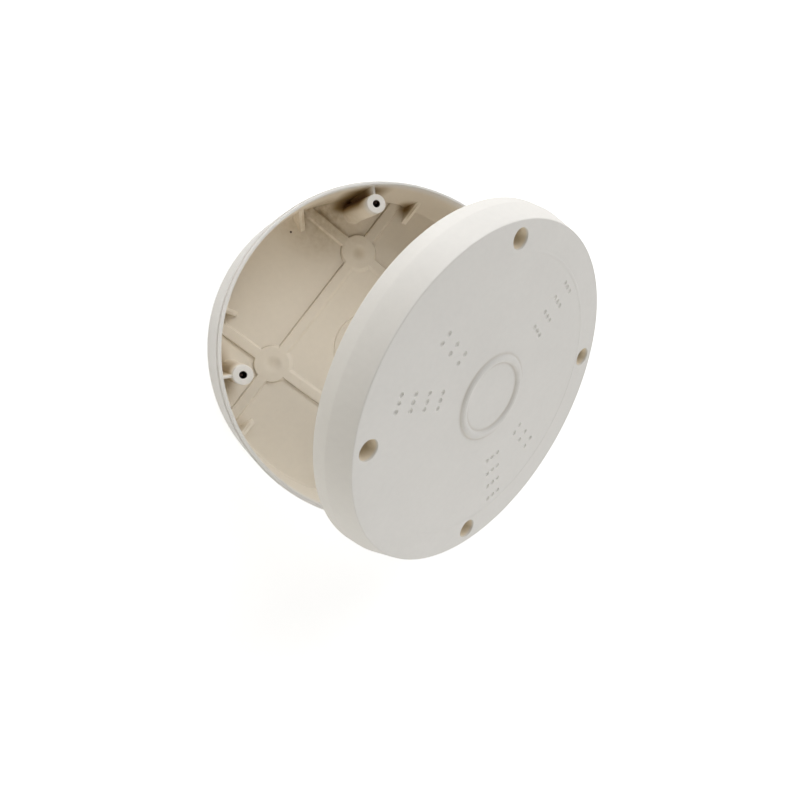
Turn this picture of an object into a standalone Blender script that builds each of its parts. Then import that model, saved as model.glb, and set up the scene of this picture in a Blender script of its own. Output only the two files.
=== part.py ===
"""Round plastic camera junction box, lying open on its back.

The back box is one moulding: a drafted cup with a stepped lip, four screw
bosses, eight gussets and a grid of floor ribs. The cover is a second
moulding, taken off and leaning on the lip, with its four screws waiting in
their recesses. The origin is the centre of the flat back, +Z points out of
the box, and the cover leans towards +X.
"""

import math

import bmesh
import bpy
from mathutils import Matrix, Vector

MM = 0.001

# Back box
BOX_RADIUS = 75.0 * MM
BOX_HEIGHT = 42.6 * MM
BASE_THICKNESS = 2.85 * MM
OUTER_DRAFT = 1.1 * MM
BACK_EDGE_RADIUS = 2.5 * MM
INNER_DRAFT = 1.8 * MM
FLOOR_CORNER_RADIUS = 0.8 * MM

# Lip round the mouth of the back box
LIP_HEIGHT = 2.8 * MM
LIP_STEP = 0.7 * MM
LIP_THICKNESS = 1.2 * MM
LIP_EDGE_RADIUS = 0.3 * MM

# Bosses, and the webs that tie them to the wall
BOSS_INSET = 9.8 * MM
BOSS_TOP_RADIUS = 4.1 * MM
BOSS_DRAFT = 0.6 * MM
BOSS_SETBACK = 2.0 * MM
PILOT_RADIUS = 1.55 * MM
PILOT_DEPTH = 22.0 * MM
WEB_THICKNESS = 1.2 * MM
WEB_SETBACK = 1.0 * MM

# Floor ribs, hubs, gussets and the break-out line of the cable hole
RIB_OFFSET = 33.0 * MM
RIB_WIDTH = 4.8 * MM
RIB_HEIGHT = 1.2 * MM
HUB_RADIUS = 8.3 * MM
DISH_RADIUS = 3.3 * MM
DISH_DEPTH = 1.0 * MM
GUSSET_REACH = 7.9 * MM
GUSSET_RISE = 17.0 * MM
GUSSET_THICKNESS = 2.4 * MM
GUSSET_SPREAD = math.radians(22.5)
BREAKOUT_RADIUS = 18.1 * MM
GROOVE_WIDTH = 0.8 * MM
GROOVE_DEPTH = 0.5 * MM

# Cover, in its own frame: z = 0 is the plane of the rim, the face is on top
COVER_OVERHANG = 0.4 * MM
COVER_DEPTH = 16.2 * MM
COVER_FACE_INSET = 2.5 * MM
COVER_KINK_INSET = 0.2 * MM
COVER_KINK_DEPTH = 10.0 * MM
COVER_WALL = 2.0 * MM
COVER_FACE_THICKNESS = 2.2 * MM
FACE_EDGE_RADIUS = 1.2 * MM
RIM_EDGE_RADIUS = 0.4 * MM

# Raised rings on the face of the cover
BEAD_RADIUS = 16.4 * MM
BEAD_WIDTH = 3.2 * MM
BEAD_HEIGHT = 0.9 * MM
FINE_BEAD_INSET = 13.1 * MM
FINE_BEAD_WIDTH = 1.6 * MM
FINE_BEAD_HEIGHT = 0.15 * MM

# Screw recesses and the posts that carry them
RECESS_RADIUS = 4.2 * MM
RECESS_DEPTH = 10.4 * MM
RECESS_WALL = 1.6 * MM
SEAT_THICKNESS = 2.0 * MM
HOLE_CLEARANCE = 0.3 * MM

# Starter marks for the camera's own screws
MARK_RADIUS = 1.0 * MM
MARK_DEPTH = 1.2 * MM
MARK_START = 32.7 * MM
MARK_PITCH = 7.55 * MM
WIDE_GROUP_ROWS = 4
WIDE_GROUP_COLUMNS = (-3.25 * MM, 0.0, 3.25 * MM)
WIDE_GROUP_AZIMUTHS = (90.0, 210.0, 330.0)
SLIM_GROUP_ROWS = 3
SLIM_GROUP_COLUMNS = (-2.15 * MM, 2.15 * MM)
SLIM_GROUP_AZIMUTHS = (0.0, 180.0)

# Cover screws
SCREW_LENGTH = 13.0 * MM
SCREW_RADIUS = 1.95 * MM
SCREW_TIP_LENGTH = 2.2 * MM
SCREW_TIP_RADIUS = 0.4 * MM
HEAD_RADIUS = 3.5 * MM
HEAD_HEIGHT = 2.4 * MM
HEAD_EDGE_RADIUS = 1.0 * MM

# How the loose cover rests on the lip
COVER_LEAN = math.radians(36.5)
RIM_BEARING = 0.24 * MM
SEAT_GAP = 0.3 * MM

# Places that follow from the sizes above
BOSS_CIRCLE_RADIUS = BOX_RADIUS - BOSS_INSET
COVER_RIM_RADIUS = BOX_RADIUS + COVER_OVERHANG
FINE_BEAD_RADIUS = COVER_RIM_RADIUS - COVER_FACE_INSET - FINE_BEAD_INSET
FLOOR_Z = BASE_THICKNESS
STEP_Z = BOX_HEIGHT - LIP_HEIGHT
LIP_OUTER_RADIUS = BOX_RADIUS - LIP_STEP
LIP_INNER_RADIUS = LIP_OUTER_RADIUS - LIP_THICKNESS
WALL_FOOT_RADIUS = LIP_INNER_RADIUS - INNER_DRAFT
BACK_RADIUS = BOX_RADIUS - OUTER_DRAFT
WALL_CORE_RADIUS = (LIP_INNER_RADIUS + BACK_RADIUS) / 2
BURIED_Z = BASE_THICKNESS / 2
BOSS_TOP_Z = BOX_HEIGHT - BOSS_SETBACK
POST_DROP = BOSS_SETBACK - SEAT_GAP
COVER_INNER_Z = COVER_DEPTH - COVER_FACE_THICKNESS
COVER_KINK_Z = COVER_DEPTH - COVER_KINK_DEPTH
RECESS_FLOOR_Z = COVER_DEPTH - RECESS_DEPTH
HOLE_RADIUS = SCREW_RADIUS + HOLE_CLEARANCE
CORNER_AZIMUTHS = tuple(math.radians(45 + 90 * quarter) for quarter in range(4))

# Facets
TURN_STEPS = 84
SMALL_STEPS = 24
HOLE_STEPS = 16
MARK_STEPS = 8
FILLET_STEPS = 3
CUTTER_MARGIN = 1.0 * MM
MERGE_DISTANCE = 0.01 * MM


def clear_scene():
    """Removes whatever the scene holds."""
    for old in list(bpy.data.objects):
        bpy.data.objects.remove(old, do_unlink=True)


def new_collection(name):
    """A collection under the scene's own."""
    group = bpy.data.collections.new(name)
    bpy.context.scene.collection.children.link(group)
    return group


def plastic(name, colour, roughness):
    """A moulded plastic in one colour."""
    material = bpy.data.materials.new(name)
    material.use_nodes = True
    shader = material.node_tree.nodes["Principled BSDF"]
    shader.inputs["Base Color"].default_value = (*colour, 1.0)
    shader.inputs["Roughness"].default_value = roughness
    shader.inputs["Metallic"].default_value = 0.0
    return material


def steel(name, colour, roughness):
    """Bare metal for the screws."""
    material = plastic(name, colour, roughness)
    shader = material.node_tree.nodes["Principled BSDF"]
    shader.inputs["Metallic"].default_value = 1.0
    return material


def arc(centre, radius, start, end, steps=FILLET_STEPS):
    """Points of a round corner in the profile plane, angles in degrees."""
    points = []
    for step in range(steps + 1):
        angle = math.radians(start + (end - start) * step / steps)
        points.append((centre[0] + radius * math.cos(angle), centre[1] + radius * math.sin(angle)))
    return points


def at_azimuth(azimuth, radius, z=0.0):
    """Matrix of a place on a circle, with its X axis pointing outwards."""
    return Matrix.Rotation(azimuth, 4, "Z") @ Matrix.Translation((radius, 0.0, z))


def turned(name, profile, steps, group):
    """A turned shape: the (radius, z) profile swept once round Z."""
    mesh = bpy.data.meshes.new(name)
    points = [(radius, 0.0, z) for radius, z in profile]
    edges = [(index, index + 1) for index in range(len(points) - 1)]
    mesh.from_pydata(points, edges, [])
    shape = bpy.data.objects.new(name, mesh)
    group.objects.link(shape)
    screw = shape.modifiers.new("turn", "SCREW")
    screw.axis = "Z"
    screw.angle = math.tau
    screw.steps = steps
    screw.render_steps = steps
    screw.use_merge_vertices = True
    screw.merge_threshold = MERGE_DISTANCE
    return shape


def mesh_object(name, mesh_builder, group):
    """An object whose mesh is filled by one call on an empty bmesh."""
    mesh = bpy.data.meshes.new(name)
    work = bmesh.new()
    mesh_builder(work)
    work.to_mesh(mesh)
    work.free()
    shape = bpy.data.objects.new(name, mesh)
    group.objects.link(shape)
    return shape


def add_cylinder(work, matrix, low, high, low_radius, high_radius, steps):
    """A capped cylinder or cone between two heights of the matrix's Z axis."""
    bmesh.ops.create_cone(
        work, cap_ends=True, segments=steps, radius1=low_radius, radius2=high_radius,
        depth=high - low, matrix=matrix @ Matrix.Translation((0.0, 0.0, (low + high) / 2)))


def add_block(work, matrix, size):
    """A box of the given size, centred on the matrix."""
    bmesh.ops.create_cube(work, size=1.0, matrix=matrix @ Matrix.Diagonal((*size, 1.0)))


def plate(name, outline, thickness, matrix, group):
    """A flat outline, as thick as asked, made a closed mesh and put in its place."""
    curve = bpy.data.curves.new(name, "CURVE")
    curve.dimensions = "2D"
    curve.fill_mode = "BOTH"
    curve.extrude = thickness / 2
    spline = curve.splines.new("POLY")
    spline.points.add(len(outline) - 1)
    for point, (across, along) in zip(spline.points, outline):
        point.co = (across, along, 0.0, 1.0)
    spline.use_cyclic_u = True
    drawn = bpy.data.objects.new(name + "_outline", curve)
    group.objects.link(drawn)
    bpy.context.view_layer.update()
    evaluated = drawn.evaluated_get(bpy.context.evaluated_depsgraph_get())
    mesh = bpy.data.meshes.new_from_object(evaluated)
    bpy.data.objects.remove(drawn, do_unlink=True)
    work = bmesh.new()
    work.from_mesh(mesh)
    bmesh.ops.remove_doubles(work, verts=work.verts, dist=MERGE_DISTANCE)
    bmesh.ops.recalc_face_normals(work, faces=work.faces)
    bmesh.ops.transform(work, matrix=matrix, verts=work.verts)
    work.to_mesh(mesh)
    work.free()
    shape = bpy.data.objects.new(name, mesh)
    group.objects.link(shape)
    return shape


def combine(target, cutter, operation):
    """A Boolean on the target, with the cutter kept as a hidden guide."""
    cutter.hide_render = True
    cutter.display_type = "WIRE"
    modifier = target.modifiers.new(cutter.name, "BOOLEAN")
    modifier.operation = operation
    modifier.solver = "EXACT"
    modifier.object = cutter


def box_profile():
    """Half section of the cup, from the middle of the floor out, over the lip and in under the back."""
    groove_in = BREAKOUT_RADIUS - GROOVE_WIDTH / 2
    groove_out = BREAKOUT_RADIUS + GROOVE_WIDTH / 2
    corner = (WALL_FOOT_RADIUS - FLOOR_CORNER_RADIUS, FLOOR_Z + FLOOR_CORNER_RADIUS)
    lip_in = (LIP_INNER_RADIUS + LIP_EDGE_RADIUS, BOX_HEIGHT - LIP_EDGE_RADIUS)
    lip_out = (LIP_OUTER_RADIUS - LIP_EDGE_RADIUS, BOX_HEIGHT - LIP_EDGE_RADIUS)
    back = (BACK_RADIUS - BACK_EDGE_RADIUS, BACK_EDGE_RADIUS)
    profile = [(0.0, FLOOR_Z), (groove_in, FLOOR_Z), (BREAKOUT_RADIUS, FLOOR_Z - GROOVE_DEPTH)]
    profile += [(groove_out, FLOOR_Z)]
    profile += arc(corner, FLOOR_CORNER_RADIUS, -90, 0)
    profile += arc(lip_in, LIP_EDGE_RADIUS, 180, 90, 2)
    profile += arc(lip_out, LIP_EDGE_RADIUS, 90, 0, 2)
    profile += [(LIP_OUTER_RADIUS, STEP_Z), (BOX_RADIUS, STEP_Z)]
    profile += arc(back, BACK_EDGE_RADIUS, 0, -90)
    profile += [(0.0, 0.0)]
    return profile


def add_bosses(box, group):
    """Four tapered bosses, each tied to the wall by a web, with pilot holes."""
    def bosses(work):
        for azimuth in CORNER_AZIMUTHS:
            place = at_azimuth(azimuth, BOSS_CIRCLE_RADIUS)
            root_radius = BOSS_TOP_RADIUS + BOSS_DRAFT
            add_cylinder(work, place, BURIED_Z, BOSS_TOP_Z, root_radius, BOSS_TOP_RADIUS, SMALL_STEPS)

    def webs(work):
        top = BOSS_TOP_Z - WEB_SETBACK
        length = WALL_CORE_RADIUS - BOSS_CIRCLE_RADIUS
        middle = (WALL_CORE_RADIUS + BOSS_CIRCLE_RADIUS) / 2
        for azimuth in CORNER_AZIMUTHS:
            place = at_azimuth(azimuth, middle, (top + BURIED_Z) / 2)
            add_block(work, place, (length, WEB_THICKNESS, top - BURIED_Z))

    def pilots(work):
        for azimuth in CORNER_AZIMUTHS:
            place = at_azimuth(azimuth, BOSS_CIRCLE_RADIUS)
            low = BOSS_TOP_Z - PILOT_DEPTH
            high = BOSS_TOP_Z + CUTTER_MARGIN
            add_cylinder(work, place, low, high, PILOT_RADIUS, PILOT_RADIUS, HOLE_STEPS)

    combine(box, mesh_object("boss_bodies", bosses, group), "UNION")
    combine(box, mesh_object("boss_webs", webs, group), "UNION")
    combine(box, mesh_object("boss_pilots", pilots, group), "DIFFERENCE")


def rib_outline(offset):
    """Outline of one floor rib along X, with both ends buried in the round wall."""
    near = offset - RIB_WIDTH / 2
    far = offset + RIB_WIDTH / 2
    near_end = math.sqrt(WALL_CORE_RADIUS ** 2 - near ** 2)
    far_end = math.sqrt(WALL_CORE_RADIUS ** 2 - far ** 2)
    return [(-near_end, near), (near_end, near), (far_end, far), (-far_end, far)]


def add_floor_grid(box, group):
    """Four straight ribs that cross in pairs, with a dished hub on each crossing."""
    height = FLOOR_Z + RIB_HEIGHT - BURIED_Z
    lift = Matrix.Translation((0.0, 0.0, BURIED_Z + height / 2))
    for quarter in range(4):
        turn = Matrix.Rotation(quarter * math.tau / 4, 4, "Z")
        rib = plate("floor_rib_%d" % (quarter + 1), rib_outline(RIB_OFFSET), height, turn @ lift, group)
        combine(box, rib, "UNION")

    hub_circle_radius = RIB_OFFSET * math.sqrt(2)
    dish_ball_radius = (DISH_RADIUS ** 2 + DISH_DEPTH ** 2) / (2 * DISH_DEPTH)
    hub_top = FLOOR_Z + RIB_HEIGHT

    def hubs(work):
        for azimuth in CORNER_AZIMUTHS:
            place = at_azimuth(azimuth, hub_circle_radius)
            add_cylinder(work, place, BURIED_Z, hub_top, HUB_RADIUS, HUB_RADIUS, SMALL_STEPS * 2)

    def dishes(work):
        for azimuth in CORNER_AZIMUTHS:
            centre = at_azimuth(azimuth, hub_circle_radius, hub_top - DISH_DEPTH + dish_ball_radius)
            bmesh.ops.create_uvsphere(
                work, u_segments=SMALL_STEPS, v_segments=SMALL_STEPS * 2, radius=dish_ball_radius,
                matrix=centre)

    combine(box, mesh_object("floor_hubs", hubs, group), "UNION")
    combine(box, mesh_object("hub_dishes", dishes, group), "DIFFERENCE")


def add_gussets(box, group):
    """Eight triangular gussets between floor and wall, one on each side of each boss."""
    foot_radius = WALL_FOOT_RADIUS - GUSSET_REACH
    wall_rise = BOX_HEIGHT - FLOOR_Z
    wall_radius = WALL_FOOT_RADIUS + INNER_DRAFT * GUSSET_RISE / wall_rise
    slope = GUSSET_RISE / (wall_radius - foot_radius)
    buried_top = FLOOR_Z + slope * (WALL_CORE_RADIUS - foot_radius)
    outline = [
        (foot_radius, BURIED_Z), (WALL_CORE_RADIUS, BURIED_Z),
        (WALL_CORE_RADIUS, buried_top), (foot_radius, FLOOR_Z)]
    upright = Matrix.Rotation(math.radians(90), 4, "X")
    number = 0
    for azimuth in CORNER_AZIMUTHS:
        for side in (-1, 1):
            number += 1
            turn = Matrix.Rotation(azimuth + side * GUSSET_SPREAD, 4, "Z")
            gusset = plate("gusset_%d" % number, outline, GUSSET_THICKNESS, turn @ upright, group)
            combine(box, gusset, "UNION")


def build_back_box(group, cutters, material):
    """The back box: cup, lip, bosses, floor grid and gussets in one moulding."""
    box = turned("back_box", box_profile(), TURN_STEPS, group)
    add_floor_grid(box, cutters)
    add_gussets(box, cutters)
    add_bosses(box, cutters)
    box.data.materials.append(material)
    return box


def bead(radius, width, height, steps):
    """Profile of a low rounded ring on the face: a circular arc with the given width and height."""
    ball = ((width / 2) ** 2 + height ** 2) / (2 * height)
    half_angle = math.degrees(math.asin(width / 2 / ball))
    centre = (radius, COVER_DEPTH + height - ball)
    return arc(centre, ball, 90 + half_angle, 90 - half_angle, steps)


def cover_profile():
    """Half section of the cover shell, from the middle of the face out, down the skirt and in underneath."""
    face_radius = COVER_RIM_RADIUS - COVER_FACE_INSET
    kink_radius = COVER_RIM_RADIUS - COVER_KINK_INSET
    skirt_lean = (kink_radius - face_radius) / COVER_KINK_DEPTH
    inner_top = (face_radius + skirt_lean * COVER_FACE_THICKNESS - COVER_WALL, COVER_INNER_Z)
    edge = (face_radius - FACE_EDGE_RADIUS, COVER_DEPTH - FACE_EDGE_RADIUS)
    rim = (COVER_RIM_RADIUS - RIM_EDGE_RADIUS, RIM_EDGE_RADIUS)
    profile = [(0.0, COVER_DEPTH)]
    profile += bead(BEAD_RADIUS, BEAD_WIDTH, BEAD_HEIGHT, 6)
    profile += bead(FINE_BEAD_RADIUS, FINE_BEAD_WIDTH, FINE_BEAD_HEIGHT, 2)
    profile += arc(edge, FACE_EDGE_RADIUS, 90, math.degrees(math.atan(skirt_lean)))
    profile += [(kink_radius, COVER_KINK_Z)]
    profile += arc(rim, RIM_EDGE_RADIUS, 0, -90, 2)
    profile += [(COVER_RIM_RADIUS - COVER_WALL, 0.0), (kink_radius - COVER_WALL, COVER_KINK_Z)]
    profile += [inner_top, (0.0, COVER_INNER_Z)]
    return profile


def add_posts(cover, seat, group):
    """Four stepped posts: a wide sleeve round each recess, then a slim foot over the box's boss."""
    sleeve_radius = RECESS_RADIUS + RECESS_WALL
    sleeve_low = RECESS_FLOOR_Z - SEAT_THICKNESS
    buried = COVER_INNER_Z + COVER_FACE_THICKNESS / 2

    def sleeves(work):
        for azimuth in CORNER_AZIMUTHS:
            place = at_azimuth(azimuth, BOSS_CIRCLE_RADIUS)
            add_cylinder(work, place, sleeve_low, buried, sleeve_radius, sleeve_radius, SMALL_STEPS)

    def feet(work):
        for azimuth in CORNER_AZIMUTHS:
            place = at_azimuth(azimuth, BOSS_CIRCLE_RADIUS)
            high = (sleeve_low + RECESS_FLOOR_Z) / 2
            add_cylinder(work, place, -POST_DROP, high, BOSS_TOP_RADIUS, BOSS_TOP_RADIUS, SMALL_STEPS)

    def recesses(work):
        for azimuth in CORNER_AZIMUTHS:
            place = at_azimuth(azimuth, BOSS_CIRCLE_RADIUS)
            high = COVER_DEPTH + CUTTER_MARGIN
            add_cylinder(work, place, RECESS_FLOOR_Z, high, RECESS_RADIUS, RECESS_RADIUS, SMALL_STEPS)

    def holes(work):
        for azimuth in CORNER_AZIMUTHS:
            place = at_azimuth(azimuth, BOSS_CIRCLE_RADIUS)
            low = -POST_DROP - CUTTER_MARGIN
            high = RECESS_FLOOR_Z + CUTTER_MARGIN
            add_cylinder(work, place, low, high, HOLE_RADIUS, HOLE_RADIUS, HOLE_STEPS)

    steps = (("post_sleeves", sleeves, "UNION"), ("post_feet", feet, "UNION"),
             ("screw_recesses", recesses, "DIFFERENCE"), ("screw_holes", holes, "DIFFERENCE"))
    for name, builder, operation in steps:
        guide = mesh_object(name, builder, group)
        guide.parent = seat
        combine(cover, guide, operation)


def mark_places():
    """Centres of the starter marks on the face: rows at equal steps along each group's own radius."""
    groups = [(azimuth, WIDE_GROUP_ROWS, WIDE_GROUP_COLUMNS) for azimuth in WIDE_GROUP_AZIMUTHS]
    groups += [(azimuth, SLIM_GROUP_ROWS, SLIM_GROUP_COLUMNS) for azimuth in SLIM_GROUP_AZIMUTHS]
    places = []
    for azimuth, rows, columns in groups:
        turn = Matrix.Rotation(math.radians(azimuth), 4, "Z")
        for row in range(rows):
            for column in columns:
                places.append(turn @ Matrix.Translation((MARK_START + MARK_PITCH * row, column, 0.0)))
    return places


def add_marks(cover, seat, group):
    """Shallow round marks where a camera's screws can be started."""
    def marks(work):
        for place in mark_places():
            low = COVER_DEPTH - MARK_DEPTH
            high = COVER_DEPTH + CUTTER_MARGIN
            add_cylinder(work, place, low, high, MARK_RADIUS, MARK_RADIUS, MARK_STEPS)

    guide = mesh_object("starter_marks", marks, group)
    guide.parent = seat
    combine(cover, guide, "DIFFERENCE")


def place_cover(group):
    """An empty at the centre of the cover's rim, where the leaning cover bears on the lip.

    In the plane of the lean, the rim's flat underside lies one seat gap above the
    outer corner of the lip, and the rim reaches past that corner by its wall less
    the bearing width.
    """
    down_slope = Vector((math.cos(COVER_LEAN), 0.0, -math.sin(COVER_LEAN)))
    face_normal = Vector((math.sin(COVER_LEAN), 0.0, math.cos(COVER_LEAN)))
    lip_corner = Vector((LIP_OUTER_RADIUS, 0.0, BOX_HEIGHT))
    overhang = COVER_WALL - RIM_BEARING
    low_edge = lip_corner + face_normal * SEAT_GAP + down_slope * overhang
    seat = bpy.data.objects.new("cover_seat", None)
    seat.location = low_edge - down_slope * COVER_RIM_RADIUS
    seat.rotation_euler = (0.0, COVER_LEAN, 0.0)
    group.objects.link(seat)
    return seat


def build_cover(group, cutters, seat, material):
    """The cover: shell, rings, screw posts and starter marks in one moulding."""
    cover = turned("cover", cover_profile(), TURN_STEPS, group)
    cover.parent = seat
    add_posts(cover, seat, cutters)
    add_marks(cover, seat, cutters)
    cover.data.materials.append(material)
    return cover


def screw_profile():
    """Half section of a pan head screw, z = 0 under the head, from the top of the head down to the tip."""
    crown = (HEAD_RADIUS - HEAD_EDGE_RADIUS, HEAD_HEIGHT - HEAD_EDGE_RADIUS)
    profile = [(0.0, HEAD_HEIGHT)]
    profile += arc(crown, HEAD_EDGE_RADIUS, 90, 0)
    profile += [(HEAD_RADIUS, 0.0), (SCREW_RADIUS, 0.0), (SCREW_RADIUS, SCREW_TIP_LENGTH - SCREW_LENGTH)]
    profile += [(SCREW_TIP_RADIUS, -SCREW_LENGTH), (0.0, -SCREW_LENGTH)]
    return profile


def build_screws(group, seat, material):
    """Four screws, each standing head up in its own recess."""
    for number, azimuth in enumerate(CORNER_AZIMUTHS, start=1):
        screw = turned("cover_screw_%d" % number, screw_profile(), SMALL_STEPS, group)
        screw.parent = seat
        screw.location = (
            BOSS_CIRCLE_RADIUS * math.cos(azimuth), BOSS_CIRCLE_RADIUS * math.sin(azimuth),
            RECESS_FLOOR_Z + SEAT_GAP)
        screw.data.materials.append(material)


def main():
    clear_scene()
    group = new_collection("camera_junction_box")
    cutters = new_collection("guides")
    ivory = plastic("ivory_plastic", (0.60, 0.56, 0.48), 0.5)
    cover_ivory = plastic("cover_plastic", (0.60, 0.57, 0.50), 0.5)
    screw_steel = steel("zinc_plated_steel", (0.62, 0.62, 0.60), 0.35)
    build_back_box(group, cutters, ivory)
    seat = place_cover(group)
    build_cover(group, cutters, seat, cover_ivory)
    build_screws(group, seat, screw_steel)
    bpy.context.view_layer.update()


main()
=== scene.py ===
"""The looks of a round plastic camera junction box, open, with its cover leaning on the lip.

Lengths are metres. Sizes are typed in millimetres and multiplied by MM.
"""

import functools
import math
from collections import namedtuple

import bmesh
import bpy
import numpy as np
from bpy.props import FloatProperty, FloatVectorProperty, PointerProperty
from mathutils import Matrix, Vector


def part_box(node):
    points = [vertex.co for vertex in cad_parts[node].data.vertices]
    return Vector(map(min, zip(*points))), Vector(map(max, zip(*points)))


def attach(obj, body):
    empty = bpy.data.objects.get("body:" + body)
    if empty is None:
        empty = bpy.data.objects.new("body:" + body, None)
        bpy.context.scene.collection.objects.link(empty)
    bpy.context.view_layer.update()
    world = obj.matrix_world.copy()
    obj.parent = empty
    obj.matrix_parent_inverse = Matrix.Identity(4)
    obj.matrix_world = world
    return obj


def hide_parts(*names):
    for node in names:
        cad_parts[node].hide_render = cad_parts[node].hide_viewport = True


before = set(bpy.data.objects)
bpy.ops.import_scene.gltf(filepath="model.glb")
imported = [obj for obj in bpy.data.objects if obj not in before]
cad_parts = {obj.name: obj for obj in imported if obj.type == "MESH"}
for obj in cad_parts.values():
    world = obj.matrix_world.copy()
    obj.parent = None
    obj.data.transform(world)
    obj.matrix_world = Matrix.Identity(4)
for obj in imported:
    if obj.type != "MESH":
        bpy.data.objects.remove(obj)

bl_info = {
    "name": "Camera junction box",
    "version": (1, 0, 0),
    "blender": (4, 5, 0),
    "location": "3D View > Sidebar > Junction box",
    "description": "Moulded back box, cover and cover screws of a round camera junction box",
    "category": "Add Mesh",
}

MM = 0.001
BOX_NODE = "back_box"
COVER_NODE = "cover"
SCREW_NODES = tuple("cover_screw_%d" % number for number in range(1, 5))
CORNER_AZIMUTHS = tuple(math.radians(45 + 90 * quarter) for quarter in range(4))
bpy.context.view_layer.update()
BOX_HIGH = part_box(BOX_NODE)[1]

# The photograph's frame, in pixels, and what the fitted camera says in it
FRAME_PIXELS = 800.0
FOCAL_PIXELS = 836.55
AXIS_PIXEL_X = 539.29
AXIS_PIXEL_Y = 386.59
CAMERA_PLACE_MM = (-101.287, -60.081, 398.398)
SENSOR_MM = 36.0

# The rest of the stage, with lengths in metres
CLIP_START, CLIP_END = 0.01, 20.0
FLOOR_SIDE = 6.0
FLOOR_ROUGHNESS = 0.9
WHITE = (1.0, 1.0, 1.0, 1.0)

# Soft lamps round the object: name as seen in the picture, place in metres, watts, tint
SOFT_PANELS = (
    ("upper_right", (-0.121, 0.742, 0.709), 4.7, (1.0, 1.0, 1.0)),
    ("right_low", (0.794, 0.592, 0.188), 1.8, (1.0, 1.0, 1.0)),
    ("lower_right_low", (0.975, -0.132, 0.228), 2.7, (1.0, 1.0, 1.0)),
    ("bottom", (0.297, -0.805, 0.564), 3.1, (1.0, 0.975, 0.92)),
    ("bottom_low", (0.546, -0.824, 0.205), 1.0, (1.0, 1.0, 1.0)),
    ("top", (-0.717, 0.581, 0.447), 1.2, (1.0, 1.0, 1.0)),
    ("top_low", (-0.669, 0.728, 0.200), 4.8, (1.0, 1.0, 1.0)),
    ("left_low", (-0.805, -0.577, 0.184), 3.6, (1.0, 0.965, 0.885)))
LAMP_TARGET = (0.0, 0.0, 0.05)

# Steps of the surfaces: columns round an axis, and points or rows along a profile
TURN_STEPS = 256
SMALL_TURN_STEPS = 64
MARK_STEPS = 20
THREAD_STEPS = 40
HEAD_STEPS = 96
FILLET_STEPS = 6
HEAD_FILLET_STEPS = 8
DISH_POINTS = 13
RIB_POINTS = 9
WEB_POINTS = 7
GUSSET_POINTS = 25
MARK_POINTS = 9
THREAD_POINTS = 150
CROWN_POINTS = 40

# How far feet reach into what carries them, faces stand apart and cutters stand out
BURY = 0.6 * MM
SKIN = 0.02 * MM
CUTTER_MARGIN = 1.0 * MM
MERGE_DISTANCE = 0.0005 * MM
SHARP_ANGLE = math.radians(32)

# The parts of a step that the fillets in it may take up, and how far a hub's foot spreads
SNUG = 0.95
RECESS_SNUG = 0.98
FOOT_SPREAD = 1.1

# A gusset's turn from its boss, and the clearest side of the cover's faint ring
GUSSET_SWING = math.tau / 16
FINE_BEAD_AZIMUTH = math.radians(25)

# The pilot hole's shares of its radius and depth, from the top down
PILOT_TAPER = ((0.99, 0.1), (0.98, 0.5), (0.97, 1.0))

# A raised ring's shares: place across, rise and fillet
BEAD_PROFILE = (
    (-1 / 2, 0, 1 / 12), (-0.27, 0.7, 1 / 7), (0, 1, 1 / 3), (0.27, 0.7, 1 / 7), (1 / 2, 0, 1 / 12))

# Groups of starter marks: azimuths in degrees, rows, and places of the columns
WIDE_GROUPS = ((90, 210, 330), 4, (-1, 0, 1))
SLIM_GROUPS = ((0, 180), 3, (-1, 1))

# Screw head: root sunk in the shank, rise of the crown, fillets, and the cross recess
HEAD_SINK = 0.25 * MM
HEAD_CROWN = 0.05 * MM
HEAD_FOOT_FILLET = 0.15 * MM
HEAD_FILLET = 1.0 * MM
CROSS_EDGE = 0.12 * MM
CROSS_SLOPE = 0.55

# Shares of the cross's reach where the head's rim ends, the cut ends and the crown starts
RIM_END, CUT_END, CROWN_START = 1.2, 1.19, 1.18

# Grain of the plastics and the plating: noises as (scale, detail), a noise's middle, bump and gloss
DRIFT_NOISE = (45.0, 3.0)
COARSE_NOISE = (420.0, 2.0)
FINE_NOISE = (1400.0, 2.0)
STAIN_NOISE = (450.0, 4.0)
NOISE_MIDDLE = 0.5
GRAIN_HEIGHT = 0.05 * MM
GLOSS_SWING = 0.12
PLASTIC_GRAIN = 0.3
PLASTIC_IOR = 1.5
STEEL_GRAIN = 0.1
STEEL_MOTTLE = 0.25

# How soon the painted inside shade deepens below a rim, how far the painted shade of holes
# reaches past their walls, and how wide the lines of painted shade are. Plain numbers are shares
# of the size that they multiply.
INSIDE_FADE = 9.0 * MM
PILOT_FADE = 0.15 * MM
RECESS_FADE = 1.2 * MM
PILOT_MARGIN = 1.06
RECESS_MARGIN = 1.03
CREASE_WIDTH = 0.36 * MM
CREASE_CEILING = 1.2
GROOVE_SHARE = 0.45
STEP_WIDTH = 0.55 * MM
RING_CREASE_WIDTH = 1.0 * MM

# Painted shade in the slots beside the bosses and in the gussets' corners. Plain numbers are shares
# of the size that they multiply.
POCKET_FADE = 12.0 * MM
POCKET_REACH = 9.0 * MM
SLOT_NEAR = 1.1
SLOT_RIM = 1.5
CORNER_WIDTH = 6.5 * MM
CORNER_START = 0.8
CORNER_GROWTH = 0.6
CORNER_FADE = 0.7

# Nearness to a place is this number less the distance over the reach, so it is full for a while.
# The thin layer of painted shade and blotches spreads further than the thick one by the film's number.
NEARNESS = 1.4
FILM_SPREAD = 1.5
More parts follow.
